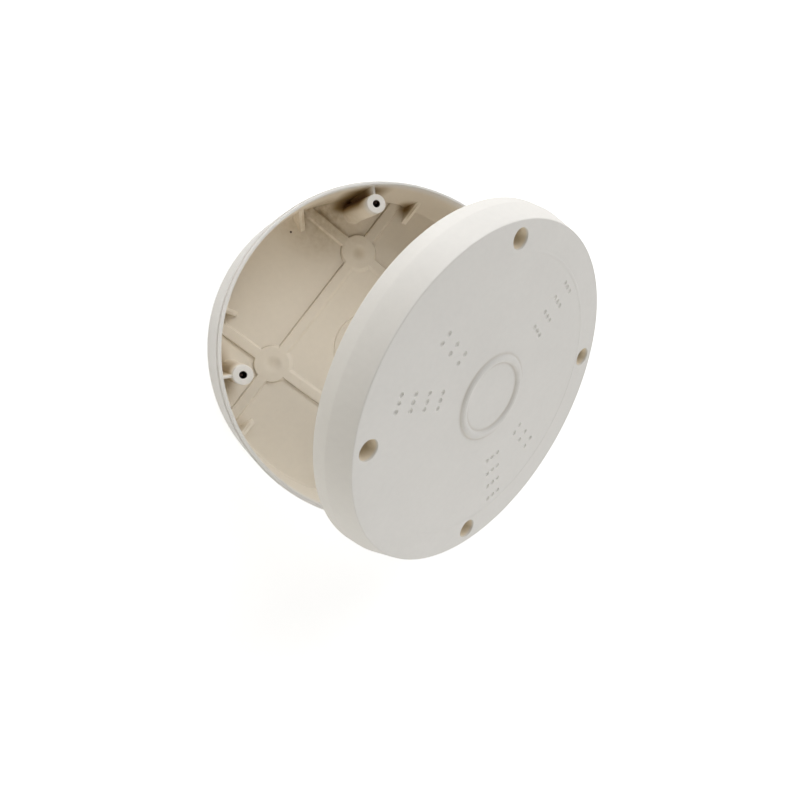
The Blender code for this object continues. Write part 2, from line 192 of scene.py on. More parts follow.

# Where the painted shade is thickest and how far it and the inside's painted shade reach, where the
# blotches are, and the grain of dirt on the floor
SHADED_BOSS_PLACE = (-45.0 * MM, 52.0 * MM, 10.0 * MM)
BOSS_SHADE_REACH = 60.0 * MM
INSIDE_SHADE_REACH = 100.0 * MM
STAIN_PLACE = (-58.0 * MM, 38.0 * MM, 4.0 * MM)
STAIN_REACH = 26.0 * MM
SPECK_PLACE = (-62.6 * MM, 20.3 * MM)
SPECK_RADIUS = 0.5 * MM

Wall = namedtuple("Wall", "foot lip back core")


def length(name, description, millimetres):
    """A length that a user can change, typed in millimetres and kept in metres."""
    return FloatProperty(
        name=name, description=description, default=millimetres * MM, min=0.0, unit="LENGTH", precision=5)


def colour(name, description, value):
    """A linear colour that a user can change."""
    return FloatVectorProperty(
        name=name, description=description, default=value, size=3, min=0.0, max=1.0, subtype="COLOR")


def share(name, description, value):
    """A plain number from 0 to 1."""
    return FloatProperty(name=name, description=description, default=value, min=0.0, max=1.0)


def metres(name, description, value):
    """A length that a user can change, in metres."""
    return FloatProperty(name=name, description=description, default=value, min=0.0, unit="LENGTH")


def amount(name, description, value):
    """A plain number from 0 up."""
    return FloatProperty(name=name, description=description, default=value, min=0.0)


def tilt(name, description, degrees):
    """An angle that a user can change, typed in degrees."""
    return FloatProperty(name=name, description=description, default=math.radians(degrees), subtype="ANGLE")


class BoxSizes(bpy.types.PropertyGroup):
    """Sizes of the back box."""
    radius: metres("Radius", "Outside of the wall under the lip", BOX_HIGH[0])
    height: metres("Height", "Back face to the top of the lip", BOX_HIGH[2])
    base: length("Base", "Thickness of the floor", 2.85)
    outer_draft: length("Outer draft", "How much narrower the outside is at the back", 1.1)
    inner_draft: length("Inner draft", "How much narrower the inside is at the floor", 1.8)
    back_edge: length("Back edge", "Rounding of the outer edge at the back", 2.5)
    floor_corner: length("Floor corner", "Rounding between floor and wall", 0.8)
    lip_height: length("Lip height", "Lip above the step", 2.8)
    lip_step: length("Lip step", "Lip in from the wall", 0.7)
    lip_thickness: length("Lip thickness", "Thickness of the lip at its top", 1.2)
    lip_edge: length("Lip edge", "Rounding of the lip's edges", 0.3)
    breakout_radius: length("Break-out radius", "Groove round the cable hole in the floor", 18.1)
    groove_width: length("Groove width", "Width of the break-out groove", 0.8)
    groove_depth: length("Groove depth", "Depth of the break-out groove", 0.5)
    boss_circle: length("Boss circle", "Radius of the circle the bosses stand on", 65.2)
    boss_radius: length("Boss radius", "Radius of a boss at its top", 4.1)
    boss_draft: length("Boss draft", "How much wider a boss is at its root", 0.6)
    boss_setback: length("Boss setback", "Boss tops below the top of the lip", 2.0)
    pilot_radius: length("Pilot radius", "Radius of the screw hole in a boss", 1.55)
    pilot_depth: length("Pilot depth", "Depth of the screw hole in a boss", 22.0)
    web_thickness: length("Web thickness", "Web between a boss and the wall", 1.2)
    web_setback: length("Web setback", "Web tops below the boss tops", 1.0)
    rib_offset: length("Rib offset", "Middle of a floor rib from the middle of the box", 33.0)
    rib_width: length("Rib width", "Width of a floor rib", 4.8)
    rib_height: length("Rib height", "Height of the floor ribs and hubs", 1.2)
    hub_radius: length("Hub radius", "Radius of a floor hub", 8.3)
    rib_ramp: length("Rib ramp", "Width of the soft slope on the inner side of ribs and hubs", 2.0)
    outer_ramp: length("Outer ramp", "Width of the slope on the stretches between hub and wall", 1.0)
    dish_radius: length("Dish radius", "Radius of the dish in a hub", 4.6)
    dish_depth: length("Dish depth", "Depth of the dish in a hub", 0.8)
    gusset_reach: length("Gusset reach", "Foot of a gusset in from the wall", 7.9)
    gusset_rise: length("Gusset rise", "Height of a gusset at the wall", 17.0)
    gusset_thickness: length("Gusset thickness", "Thickness of a gusset", 2.4)
    foot_fillet: length("Foot fillet", "Rounding at the feet of ribs, bosses and gussets", 0.35)
    crest_fillet: length("Crest fillet", "Rounding of the upper edges of ribs and gussets", 0.35)


class CoverSizes(bpy.types.PropertyGroup):
    """Sizes of the cover, in its own frame: the rim's plane is z = 0 and the face is on top."""
    rim_radius: length("Rim radius", "Outside of the rim", 75.4)
    depth: length("Depth", "Rim to face", 16.2)
    face_inset: length("Face inset", "Sharp edge of the face in from the rim", 3.09)
    kink_inset: length("Kink inset", "Kink of the skirt in from the rim", 0.2)
    kink_depth: length("Kink depth", "Kink of the skirt below the face", 10.0)
    kink_fillet: length("Kink fillet", "Rounding of the kink", 3.0)
    wall: length("Wall", "Thickness of the skirt", 2.0)
    face_thickness: length("Face thickness", "Thickness of the face", 2.2)
    face_edge: length("Face edge", "Rounding between face and skirt", 0.6)
    rim_edge: length("Rim edge", "Rounding of the rim", 0.8)
    bead_radius: length("Bead radius", "Middle of the raised ring", 16.6)
    bead_width: length("Bead width", "Width of the raised ring", 3.9)
    bead_height: length("Bead height", "Height of the raised ring", 1.35)
    fine_bead_radius: length("Fine bead radius", "Middle of the faint outer ring", 59.8)
    fine_bead_width: length("Fine bead width", "Width of the faint outer ring", 1.6)
    fine_bead_height: length("Fine bead height", "Height of the faint outer ring", 0.22)
    recess_radius: length("Recess radius", "Radius of a screw recess", 4.2)
    recess_depth: length("Recess depth", "Depth of a screw recess", 10.4)
    recess_wall: length("Recess wall", "Wall of the sleeve round a recess", 1.6)
    recess_edge: length("Recess edge", "Rounding at the mouth of a recess", 0.3)
    seat_thickness: length("Seat thickness", "Floor of a screw recess", 2.0)
    hole_radius: length("Hole radius", "Radius of the hole under a screw's head", 2.25)
    mark_radius: length("Mark radius", "Radius of a starter mark", 1.15)
    mark_depth: length("Mark depth", "Depth of a starter mark", 0.65)
    mark_start: length("Mark start", "First row of marks from the middle", 32.7)
    mark_pitch: length("Mark pitch", "Step between rows of marks", 7.55)
    wide_column: length("Wide column", "Step between columns in the groups of three columns", 3.25)
    slim_column: length("Slim column", "Half the step between columns in the groups of two columns", 2.15)
    lean: tilt("Lean", "Angle between the cover and the mouth of the box", 36.5)
    bearing: length("Bearing", "Width of rim that lies inside the lip's corner", 0.24)
    seat_gap: length("Seat gap", "Clearance where loose pieces rest on each other", 0.3)


class ScrewSizes(bpy.types.PropertyGroup):
    """Sizes of a cover screw: z = 0 is under its head."""
    shank: length("Length", "Under the head to the tip", 13.0)
    radius: length("Thread radius", "Outside of the thread", 1.95)
    thread_depth: length("Thread depth", "Crest to root of the thread", 0.45)
    pitch: length("Pitch", "Turn to turn of the thread", 1.3)
    tip: length("Tip", "Length of the pointed end", 2.2)
    tip_radius: length("Tip radius", "Radius at the very tip", 0.4)
    head_radius: length("Head radius", "Radius of the head", 3.5)
    head_height: length("Head height", "Height of the head", 2.4)
    cross_reach: length("Cross reach", "Length of each arm of the cross recess", 2.1)
    cross_width: length("Cross width", "Half the width of an arm of the cross recess", 0.42)
    cross_depth: length("Cross depth", "Depth of the cross recess", 1.5)


class Finish(bpy.types.PropertyGroup):
    """Colours and gloss."""
    box_colour: colour("Box plastic", "Outside and lip of the back box", (0.865, 0.850, 0.825))
    # The inside tones are painted warm bounce light and shade: darker and warmer near the most shaded boss,
    # lighter away from it.
    inside_shade_colour: colour("Inside plastic", "Yellowed tone inside the back box", (0.862, 0.780, 0.657))
    lit_inside_colour: colour("Less aged", "Inside tone away from the dirtiest boss", (0.905, 0.855, 0.765))
    # Thin golden and thick dark layers: painted shade in the slots, dishes and gusset corners, with the
    # blotches.
    thin_shade_and_blotch_colour: colour("Film", "Thin golden brown grime in the corners", (0.430, 0.305, 0.125))
    thick_shade_and_blotch_colour: colour("Pockets", "Thick brown grime in the pockets by the bosses", (0.110, 0.036, 0.003))
    # Painted shade down the screw holes.
    pilot_shade_colour: colour("Pilot hole", "Dark inside of the screw holes", (0.040, 0.015, 0.006))
    cover_colour: colour("Cover plastic", "Moulded plastic of the cover", (0.814, 0.794, 0.756))
    # Painted warm shade inside the screw recesses.
    recess_shade_colour: colour("Recess", "Warm brown inside of the screw recesses", (0.860, 0.770, 0.620))
    mottle: share("Mottle", "How much the plastic's tone drifts", 0.05)
    plastic_roughness: share("Plastic roughness", "Gloss of the moulded plastic", 0.48)
    # Painted shade in the dishes of the hubs.
    dish_shade: share("Dish grime", "How strong the brown tone in the dished hubs is", 0.22)
    # Painted shade beside the gussets.
    corner_shade: share("Corner grime", "How strong the brown tone beside the gussets is", 0.85)
    # Painted shade in the slots, dishes and corners away from the most shaded boss.
    distant_shade_share: share("Clean share", "Grime in the corners away from the dirtiest boss", 0.35)
    stain: share("Stain", "How strong the blotches beside the dirtiest boss are", 0.32)
    # Painted shade lines at the feet of the ribs, hubs and wall and in the break-out groove.
    crease_shade_colour: colour("Creases", "Brown lines at the feet of the floor ribs", (0.190, 0.115, 0.050))
    crease_shade_strength: share("Crease strength", "How strong the brown lines by the dirtiest boss are", 0.58)
    distant_crease_shade: share("Clean crease", "How strong the brown lines are away from the dirtiest boss", 0.27)
    # Painted shadow line under the lip's step.
    step_shadow_strength: share("Step strength", "How strong the line at the step of the lip is", 0.22)
    # Painted shade lines at the feet of the raised ring.
    ring_shade_colour: colour("Ring shade", "Tone at the feet of the raised ring", (0.420, 0.330, 0.200))
    ring_shade_strength: share("Ring crease", "How strong the lines at the feet of the raised ring are", 0.20)
    speck_colour: colour("Speck", "A grain of dirt on the floor of the box", (0.06, 0.04, 0.03))
    screw_colour: colour("Screw", "Zinc plating", (0.56, 0.56, 0.54))
    screw_roughness: share("Screw roughness", "Gloss of the plating", 0.30)


class StageSettings(bpy.types.PropertyGroup):
    """Floor, lamps and camera."""
    floor_colour: colour("Floor", "Pale floor", (0.80, 0.80, 0.80))
    floor_glow: share("Floor glow", "White that the camera sees in the floor besides its own light", 0.60)
    shadow_reach: metres("Shadow reach", "Where the floor starts to fade to white, from the middle", 0.35)
    sky: amount("Sky", "Light from all round", 0.02)
    lamp_scale: amount("Lamp strength", "Scales every soft lamp", 1.0)
    lamp_size: metres("Lamp size", "Side of each square soft lamp", 0.6)
    camera_azimuth: tilt("Camera azimuth", "0 looks along +Y", -61.771)
    camera_elevation: tilt("Camera elevation", "Above the floor", 61.836)
    camera_roll: tilt("Camera roll", "Turn about the line of sight", 98.791)


def filleted(corners, steps=FILLET_STEPS):
    """Profile through corners with rounded bends.

    Each corner is (radius, z, fillet). At a bend the arc of that fillet touches
    both sides: its centre lies on the line that halves the angle, at fillet over
    the sine of half the angle, and its points are spread evenly between the two
    touching points.
    """
    points = [np.array(corners[0][:2])]
    for before, here, after in zip(corners[:-2], corners[1:-1], corners[2:]):
        bend = np.array(here[:2])
        fillet = here[2]
        if fillet == 0.0:
            points.append(bend)
            continue
        back = np.array(before[:2]) - bend
        ahead = np.array(after[:2]) - bend
        back = back / np.linalg.norm(back)
        ahead = ahead / np.linalg.norm(ahead)
        half = math.acos(np.clip(back @ ahead, -1.0, 1.0)) / 2
        towards = (back + ahead) / np.linalg.norm(back + ahead)
        centre = bend + towards * fillet / math.sin(half)
        start = bend + back * fillet / math.tan(half) - centre
        end = bend + ahead * fillet / math.tan(half) - centre
        sweep = math.pi - 2 * half
        turn = np.linspace(0.0, 1.0, steps + 1)[:, None]
        arc = (np.sin((1 - turn) * sweep) * start + np.sin(turn * sweep) * end) / math.sin(sweep)
        points.extend(centre + arc)
    points.append(np.array(corners[-1][:2]))
    return np.array(points)


def turned(profile, steps=TURN_STEPS):
    """Grid of a turned surface: row i, column j is profile point i at angle j, (r cos a, r sin a, z)."""
    angle = np.linspace(0.0, math.tau, steps, endpoint=False)
    radius, z = profile[:, 0:1], profile[:, 1:2]
    z = np.broadcast_to(z, (len(z), steps))
    return np.stack([radius * np.cos(angle), radius * np.sin(angle), z], axis=2)


def fin(along, height, half_width, foot, crest):
    """Grid of an upright fin along X: row i is the section at along[i], with the given height there.

    The section climbs from a buried foot on one side, through a hollow quarter
    circle of radius foot, up the side, over a quarter circle of radius crest,
    and mirrors down the other side. Both radii shrink where the fin is low.
    """
    along, height = np.broadcast_arrays(np.atleast_1d(along), np.atleast_1d(height))
    room = np.maximum(height, 0.0) / 2
    foot_radius = np.minimum(foot, room)[:, None]
    crest_radius = np.minimum(np.minimum(crest, half_width), room)[:, None]
    turn = np.linspace(0.0, math.pi / 2, FILLET_STEPS + 1)[None, :]
    side = np.concatenate([
        np.broadcast_to(half_width + foot_radius, (len(along), 1)),
        half_width + foot_radius * (1 - np.sin(turn)),
        half_width - crest_radius * (1 - np.cos(turn))], axis=1)
    up = np.concatenate([
        np.full((len(along), 1), -BURY),
        foot_radius * (1 - np.cos(turn)),
        height[:, None] - crest_radius * (1 - np.sin(turn))], axis=1)
    across = np.concatenate([-side, side[:, ::-1]], axis=1)
    upward = np.concatenate([up, up[:, ::-1]], axis=1)
    forward = np.broadcast_to(along[:, None], across.shape)
    return np.stack([forward, across, upward], axis=2)


def moved(grid, azimuth, place):
    """The grid shifted to a place and then swung round Z by an azimuth."""
    matrix = np.array(Matrix.Rotation(azimuth, 3, "Z"))
    return (grid + np.array(place)) @ matrix.T


def at_corners(grid, place):
    """The grid shifted to a place and then swung to each of the four corners."""
    return [moved(grid, azimuth, place) for azimuth in CORNER_AZIMUTHS]


def skin(grid):
    """Vertices and faces of a grid that closes round its columns and is capped at its first and last rows.

    A quad joins each point to its neighbour in the next column and the next row.
    A row that has shrunk to a point needs no cap: its doubles are merged later.
    """
    rows, columns = grid.shape[:2]
    index = np.arange(rows * columns).reshape(rows, columns)
    following = np.roll(index, -1, axis=1)
    quads = np.stack([index[:-1], following[:-1], following[1:], index[1:]], axis=2).reshape(-1, 4)
    caps = []
    for row, order in ((0, -1), (rows - 1, 1)):
        if np.ptp(grid[row], axis=0).max() > MERGE_DISTANCE:
            caps.append(index[row][::order].tolist())
    return grid.reshape(-1, 3), quads.tolist() + caps


def body(name, grids):
    """One mesh object out of closed grids, with its doubles merged and its faces pointing out."""
    vertices, faces, count = [], [], 0
    for grid in grids:
        points, polygons = skin(grid)
        vertices.append(points)
        faces += [[corner + count for corner in polygon] for polygon in polygons]
        count += len(points)
    mesh = bpy.data.meshes.new(name)
    mesh.from_pydata(np.concatenate(vertices), [], faces)
    work = bmesh.new()
    work.from_mesh(mesh)
    bmesh.ops.remove_doubles(work, verts=work.verts, dist=MERGE_DISTANCE)
    bmesh.ops.dissolve_degenerate(work, edges=work.edges, dist=MERGE_DISTANCE / 10)
    bmesh.ops.recalc_face_normals(work, faces=work.faces)
    work.to_mesh(mesh)
    work.free()
    piece = bpy.data.objects.new(name, mesh)
    bpy.context.scene.collection.objects.link(piece)
    return piece


def cut(piece, cutters):
    """Booleans applied to the piece: each cutter is (object, operation), and is gone afterwards."""
    for cutter, operation in cutters:
        modifier = piece.modifiers.new(cutter.name, "BOOLEAN")
        modifier.operation = operation
        modifier.solver = "EXACT"
        modifier.object = cutter
    bpy.context.view_layer.update()
    evaluated = piece.evaluated_get(bpy.context.evaluated_depsgraph_get())
    mesh = bpy.data.meshes.new_from_object(evaluated)
    old = piece.data
    piece.modifiers.clear()
    piece.data = mesh
    bpy.data.meshes.remove(old)
    for cutter, _ in cutters:
        bpy.data.objects.remove(cutter, do_unlink=True)


def finish_piece(piece, material, slot, *nodes):
    """Shades a piece, rides it on the one body and hides the nodes that it stands for."""
    piece.data.shade_smooth()
    piece.data.set_sharp_from_angle(angle=SHARP_ANGLE)
    piece.data.materials.clear()
    piece.data.materials.append(material)
    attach(piece, "root")
    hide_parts(*nodes)


def box_piece(name, grids):
    """A piece of the back box, in its plastic."""
    finish_piece(body(name, grids), bpy.data.materials["back_box_plastic"], "box_plastic", BOX_NODE)


def add_node(tree, kind, inputs, **settings):
    """A new node with its settings made, and each input set to a plain value or linked to a socket."""
    node = tree.nodes.new(kind)
    for name, value in settings.items():
        setattr(node, name, value)
    for key, value in inputs.items():
        if isinstance(value, bpy.types.NodeSocket):
            tree.links.new(value, node.inputs[key])
        else:
            node.inputs[key].default_value = value
    return node


class Maths:
    """Math nodes of one node tree, between values that are sockets or plain numbers."""

    def __init__(self, tree):
        self.tree = tree

    def of(self, operation, *values, clamp=False):
        """What one Math node gives."""
        inputs = dict(enumerate(values))
        return add_node(self.tree, "ShaderNodeMath", inputs, operation=operation, use_clamp=clamp).outputs[0]

    def product(self, *values):
        """All the values times each other."""
        return functools.reduce(functools.partial(self.of, "MULTIPLY"), values)

    def largest(self, *values):
        """The largest of the values."""
        return functools.reduce(functools.partial(self.of, "MAXIMUM"), values)

    def reach(self, *legs):
        """The root of the sum of the squares of two legs."""
        return self.of("SQRT", self.of("ADD", *(self.product(leg, leg) for leg in legs)))

    def ramp(self, value, start, width):
        """The value less the start over the width, held between 0 and 1."""
        return self.of("DIVIDE", self.of("SUBTRACT", value, start), width, clamp=True)

    def fading(self, distance, width, most=1.0):
        """The most less the distance over the width, held between 0 and 1."""
        return self.of("SUBTRACT", most, self.of("DIVIDE", distance, width), clamp=True)

    def from_corner(self, x, y, corner):
        """The absolutes of x and y less the corner, which folds four corners onto one."""
        return [self.of("SUBTRACT", self.of("ABSOLUTE", leg), corner) for leg in (x, y)]


def new_group(name, inputs, outputs):
    """A node group with the named sockets; gives it, what it is given and where its results go."""
    tree = bpy.data.node_groups.new(name, "ShaderNodeTree")
    for way, sockets in (("INPUT", inputs), ("OUTPUT", outputs)):
        for label, kind in sockets.items():
            tree.interface.new_socket(name=label, in_out=way, socket_type="NodeSocket" + kind)
    return tree, tree.nodes.new("NodeGroupInput").outputs, tree.nodes.new("NodeGroupOutput").inputs


def noise(tree, place, scale, detail):
    """Value of a noise texture."""
    inputs = {"Vector": place, "Scale": scale, "Detail": detail}
    return add_node(tree, "ShaderNodeTexNoise", inputs).outputs[0]


def moulded_grain():
    """Node group: tone drift and fine spark-eroded grain of a moulded plastic, on Object coordinates.

    The tone is the colour times 1 plus the mottle times the sum of the drifting
    and the coarse noise less 1. The roughness rises with the coarse noise, and
    the bump is the sum of the fine and the coarse one.
    """
    tree, given, result = new_group(
        "moulded_grain", {"Colour": "Color", "Mottle": "Float", "Roughness": "Float", "Grain": "Float"},
        {"Colour": "Color", "Roughness": "Float", "Normal": "Vector"})
    maths = Maths(tree)
    place = tree.nodes.new("ShaderNodeTexCoord").outputs["Object"]
    drift, fine, coarse = (noise(tree, place, *kind) for kind in (DRIFT_NOISE, FINE_NOISE, COARSE_NOISE))
    centred = maths.of("SUBTRACT", maths.of("ADD", drift, coarse), 1.0)
    swing = maths.of("MULTIPLY_ADD", centred, given["Mottle"], 1.0)
    tone = add_node(tree, "ShaderNodeVectorMath", {0: given["Colour"], "Scale": swing}, operation="SCALE")
    gloss = maths.of("MULTIPLY_ADD", coarse, GLOSS_SWING, given["Roughness"])
    bump = add_node(tree, "ShaderNodeBump", {
        "Distance": GRAIN_HEIGHT, "Strength": given["Grain"], "Height": maths.of("ADD", fine, coarse)})
    tree.links.new(tone.outputs["Vector"], result["Colour"])
    tree.links.new(gloss, result["Roughness"])
    tree.links.new(bump.outputs["Normal"], result["Normal"])
    return tree


def round_pockets(maths, x, y, z, corner, radius, rim, fade):
    """Mask of round pockets at the four corners of a square about Z.

    It is 1 where (|x|, |y|) lies closer to the corner than the radius, times the
    depth below the rim over the fade, from 0 to 1.
    """
    near = maths.of("LESS_THAN", maths.reach(*maths.from_corner(x, y, corner)), radius)
    return maths.product(near, maths.ramp(rim, z, fade))


def cup_inside(maths, x, y, z, radius, floor, lip, fade):
    """Mask of the inside of a cup about Z, 0 outside and at its lip and 1 from the fade's depth on."""
    within = maths.of("LESS_THAN", maths.reach(x, y), radius)
    above = maths.of("GREATER_THAN", z, floor)
    return maths.product(within, above, maths.ramp(lip, z, fade))


def floor_creases(maths, x, y, z, offset, half, hub, groove, width, ceiling):
    """Mask of thin lines at the crisp feet of the floor ribs and hubs, and in the break-out groove.

    With a = |x| and b = |y|, a rib's crisp foot is where a or b equals the rib's
    offset plus half its width, a hub's is the circle about (offset, offset), and
    only the parts outside the other forms and away from the middle count. Each
    line is 1 at its middle and falls to 0 within the width.
    """
    def line(value, middle):
        """1 where the value meets the middle, and 0 from the width on."""
        return maths.fading(maths.of("ABSOLUTE", maths.of("SUBTRACT", value, middle)), width)

    legs = maths.from_corner(x, y, offset)
    clear = [maths.of("GREATER_THAN", maths.of("ABSOLUTE", leg), half) for leg in legs]
    to_hub = maths.reach(*legs)
    ribs = maths.largest(*(maths.product(line(leg, half), other) for leg, other in zip(legs, clear[::-1])))
    outward = maths.of("GREATER_THAN", maths.largest(*legs), 0.0)
    lines = maths.largest(
        maths.product(ribs, maths.of("GREATER_THAN", to_hub, hub)),
        maths.product(line(to_hub, hub), *clear, outward),
        maths.product(line(maths.reach(x, y), groove), GROOVE_SHARE))
    return maths.product(lines, maths.of("LESS_THAN", z, ceiling))


def boss_pockets(maths, x, y, z, corner, near, reach, start, growth, rim, fade):
    """Mask of the narrow slots between four bosses and the round wall.

    It is the product of three ramps: nearness to a boss, radius beyond the start,
    and depth below the rim, each from 0 to 1.
    """
    far = maths.ramp(maths.reach(*maths.from_corner(x, y, corner)), near, reach)
    beyond = maths.ramp(maths.reach(x, y), start, growth)
    return maths.product(maths.of("SUBTRACT", 1.0, far), beyond, maths.ramp(rim, z, fade))


def turned_line(maths, x, y, z, radius, height, width):
    """Mask of a thin line round Z at a given radius and height.

    It is 1 where the distance in radius and height to the line's circle is 0, and
    falls to 0 within the width.
    """
    legs = [maths.of("SUBTRACT", here, there) for here, there in ((maths.reach(x, y), radius), (z, height))]
    return maths.fading(maths.reach(*legs), width)


def gusset_corners(maths, x, y, z, width, start, growth, rim, fade):
    """Mask of the corners between gussets and wall, on the side of the bosses.

    The angle about Z is folded into the eighth turn between an axis and a corner.
    Past a sixteenth turn lies the boss's side: there the mask is 1 less the arc from
    the gusset over the width, times ramps towards the wall and down from the rim.
    """
    radius = maths.reach(x, y)
    folded = maths.of("PINGPONG", maths.of("ARCTAN2", y, x), math.tau / 8)
    past = maths.of("SUBTRACT", folded, GUSSET_SWING)
    near = maths.fading(maths.product(past, radius), width)
    side = maths.of("GREATER_THAN", past, 0.0)
    return maths.product(near, side, maths.ramp(radius, start, growth), maths.ramp(rim, z, fade))


def masked(tree, effect, place, **values):
    """Mask of an effect at a place, out of the effect's node group with the given values.

    The group is built once, by the effect's own function, with an input for each value.
    """
    group = bpy.data.node_groups.get(effect.__name__)
    if group is None:
        floats = {name.title(): "Float" for name in values}
        group, given, result = new_group(effect.__name__, {"Place": "Vector", **floats}, {"Inside": "Float"})
        parts = add_node(group, "ShaderNodeSeparateXYZ", {0: given["Place"]}).outputs
        mask = effect(Maths(group), *parts, **{name: given[name.title()] for name in values})
        group.links.new(mask, result["Inside"])
    inputs = {name.title(): value for name, value in values.items()}
    return add_node(tree, "ShaderNodeGroup", {"Place": place, **inputs}, node_tree=group).outputs["Inside"]


def distance_to(tree, place, point):
    """Distance from the shaded place to a fixed point."""
    return add_node(tree, "ShaderNodeVectorMath", {0: place, 1: point}, operation="DISTANCE").outputs["Value"]


def layered(tree, shown, *layers):
    """Colour of a base under layers, each a tone and the mask that says where it lies."""
    for layer, mask in layers:
        tones = [tone if isinstance(tone, bpy.types.NodeSocket) else (*tone, 1.0) for tone in (shown, layer)]
        inputs = {"Factor": mask, "A": tones[0], "B": tones[1]}
        shown = add_node(tree, "ShaderNodeMix", inputs, data_type="RGBA").outputs["Result"]
    return shown


def grained_material(name, mottle, roughness, grain):
    """A material with the shared grain; gives it, its shader's inputs and the socket for its tone."""
    material = bpy.data.materials.new(name)
    material.use_nodes = True
    tree = material.node_tree
    texture = add_node(
        tree, "ShaderNodeGroup", {"Mottle": mottle, "Roughness": roughness, "Grain": grain},
        node_tree=bpy.data.node_groups.get("moulded_grain") or moulded_grain())
    shader = tree.nodes["Principled BSDF"].inputs
    for output, target in (("Colour", "Base Color"), ("Roughness", "Roughness"), ("Normal", "Normal")):
        tree.links.new(texture.outputs[output], shader[target])
    return material, shader, texture.inputs["Colour"]


def moulded_plastic(name, finish):
    """Ivory moulded plastic; gives the material and the socket that its tone goes into."""
    material, shader, tone = grained_material(name, finish.mottle, finish.plastic_roughness, PLASTIC_GRAIN)
    shader["IOR"].default_value = PLASTIC_IOR
    return material, tone


def box_plastic(sizes, finish):
    """Plastic of the back box: pale outside, painted warm shade inside, painted near black shade in the screw
    holes.

    The darkening is the largest of the painted shade in the slots beside the bosses, in
    the dishes of the hubs and in the corners of the gussets, times the nearness to the
    most shaded boss, and of the blotches beside that boss. A thin layer of it is golden,
    and a thick one, which grows with the square, is dark. The painted shade lines at the
    feet are also strongest near that boss.
    """
    material, tone = moulded_plastic("back_box_plastic", finish)
    tree = material.node_tree
    maths = Maths(tree)
    place = tree.nodes.new("ShaderNodeTexCoord").outputs["Object"]
    mask = functools.partial(masked, tree, place=place)
    wall = box_wall(sizes)
    # The cup mask lays the painted inside shade, growing from the lip down over the inside fade.
    cup = mask(cup_inside, radius=wall.core, floor=sizes.base / 2, lip=sizes.height, fade=INSIDE_FADE)
    # Painted near black shade down the pilot holes of the bosses.
    pilot = mask(
        round_pockets, corner=boss_corner(sizes), radius=sizes.pilot_radius * PILOT_MARGIN,
        rim=boss_top(sizes) - SKIN, fade=PILOT_FADE)
    speck = maths.of("LESS_THAN", distance_to(tree, place, (*SPECK_PLACE, sizes.base)), SPECK_RADIUS)

    # Nearness to the most shaded boss, which weights the painted shade.
    from_shaded_boss = distance_to(tree, place, SHADED_BOSS_PLACE)
    near_shaded_boss, shadowed = (maths.fading(from_shaded_boss, reach, NEARNESS) for reach in (BOSS_SHADE_REACH, INSIDE_SHADE_REACH))
    stained = maths.fading(distance_to(tree, place, STAIN_PLACE), STAIN_REACH)
    stain = maths.product(stained, noise(tree, place, *STAIN_NOISE), finish.stain / NOISE_MIDDLE)
    # Painted shade in the slots between the bosses and the wall.
    slots = mask(
        boss_pockets, corner=boss_corner(sizes), near=sizes.boss_radius * SLOT_NEAR, reach=POCKET_REACH,
        start=sizes.boss_circle - sizes.boss_radius / 4, growth=sizes.boss_radius,
        rim=boss_top(sizes) - sizes.web_setback * SLOT_RIM, fade=POCKET_FADE)
    # Painted shade in the dishes of the hubs.
    dishes = mask(
        round_pockets, corner=sizes.rib_offset, radius=sizes.dish_radius,
        rim=sizes.base + sizes.rib_height - SKIN, fade=sizes.dish_depth)
    # Painted shade in the corners between the gussets and the wall.
    corners = mask(
        gusset_corners, width=CORNER_WIDTH, start=wall.foot - sizes.gusset_reach * CORNER_START,
        growth=sizes.gusset_reach * CORNER_GROWTH, rim=sizes.base + sizes.gusset_rise,
        fade=sizes.gusset_rise * CORNER_FADE)
    # Painted shade of slots, dishes and corners, with the blotches, as a thin golden and a thick dark layer.
    nook_shade = maths.largest(
        slots, maths.product(dishes, finish.dish_shade), maths.product(corners, finish.corner_shade))
    shade_and_blotches = maths.largest(maths.product(nook_shade, maths.largest(near_shaded_boss, finish.distant_shade_share)), stain)
    film = maths.product(maths.of("MULTIPLY", shade_and_blotches, FILM_SPREAD, clamp=True), cup)
    thick = maths.product(shade_and_blotches, shade_and_blotches, cup)

    # Painted shade lines at the feet of the ribs and hubs and in the break-out groove.
    creases = mask(
        floor_creases, offset=sizes.rib_offset, half=sizes.rib_width / 2 + CREASE_WIDTH / 3,
        hub=sizes.hub_radius + CREASE_WIDTH / 3, groove=sizes.breakout_radius, width=CREASE_WIDTH,
        ceiling=sizes.base + sizes.foot_fillet * CREASE_CEILING)
    wall_foot = mask(turned_line, radius=wall.foot, height=sizes.base, width=CREASE_WIDTH * 2)
    boss_side = mask(gusset_corners, width=sizes.radius, start=0.0, growth=MM, rim=sizes.height, fade=MM)
    # Painted shadow line under the lip's step.
    step = mask(
        turned_line, radius=sizes.radius - sizes.lip_step, height=sizes.height - sizes.lip_height,
        width=STEP_WIDTH)
    feet = maths.product(maths.largest(creases, maths.product(wall_foot, boss_side)), cup)
    # Painted shade lines at the feet and a painted shadow line under the lip's step.
    lines = maths.largest(
        maths.product(feet, maths.largest(
            maths.product(near_shaded_boss, finish.crease_shade_strength), finish.distant_crease_shade)),
        maths.product(step, finish.step_shadow_strength))

    # Painted shade of the inside: darker near the most shaded boss.
    inside_shade_tone = layered(tree, finish.lit_inside_colour, (finish.inside_shade_colour, shadowed))
    shown = layered(
        tree, finish.box_colour, (inside_shade_tone, cup), (finish.thin_shade_and_blotch_colour, film),
        (finish.thick_shade_and_blotch_colour, thick), (finish.crease_shade_colour, lines), (finish.speck_colour, speck),
        (finish.pilot_shade_colour, pilot))
    tree.links.new(shown, tone)
    return material


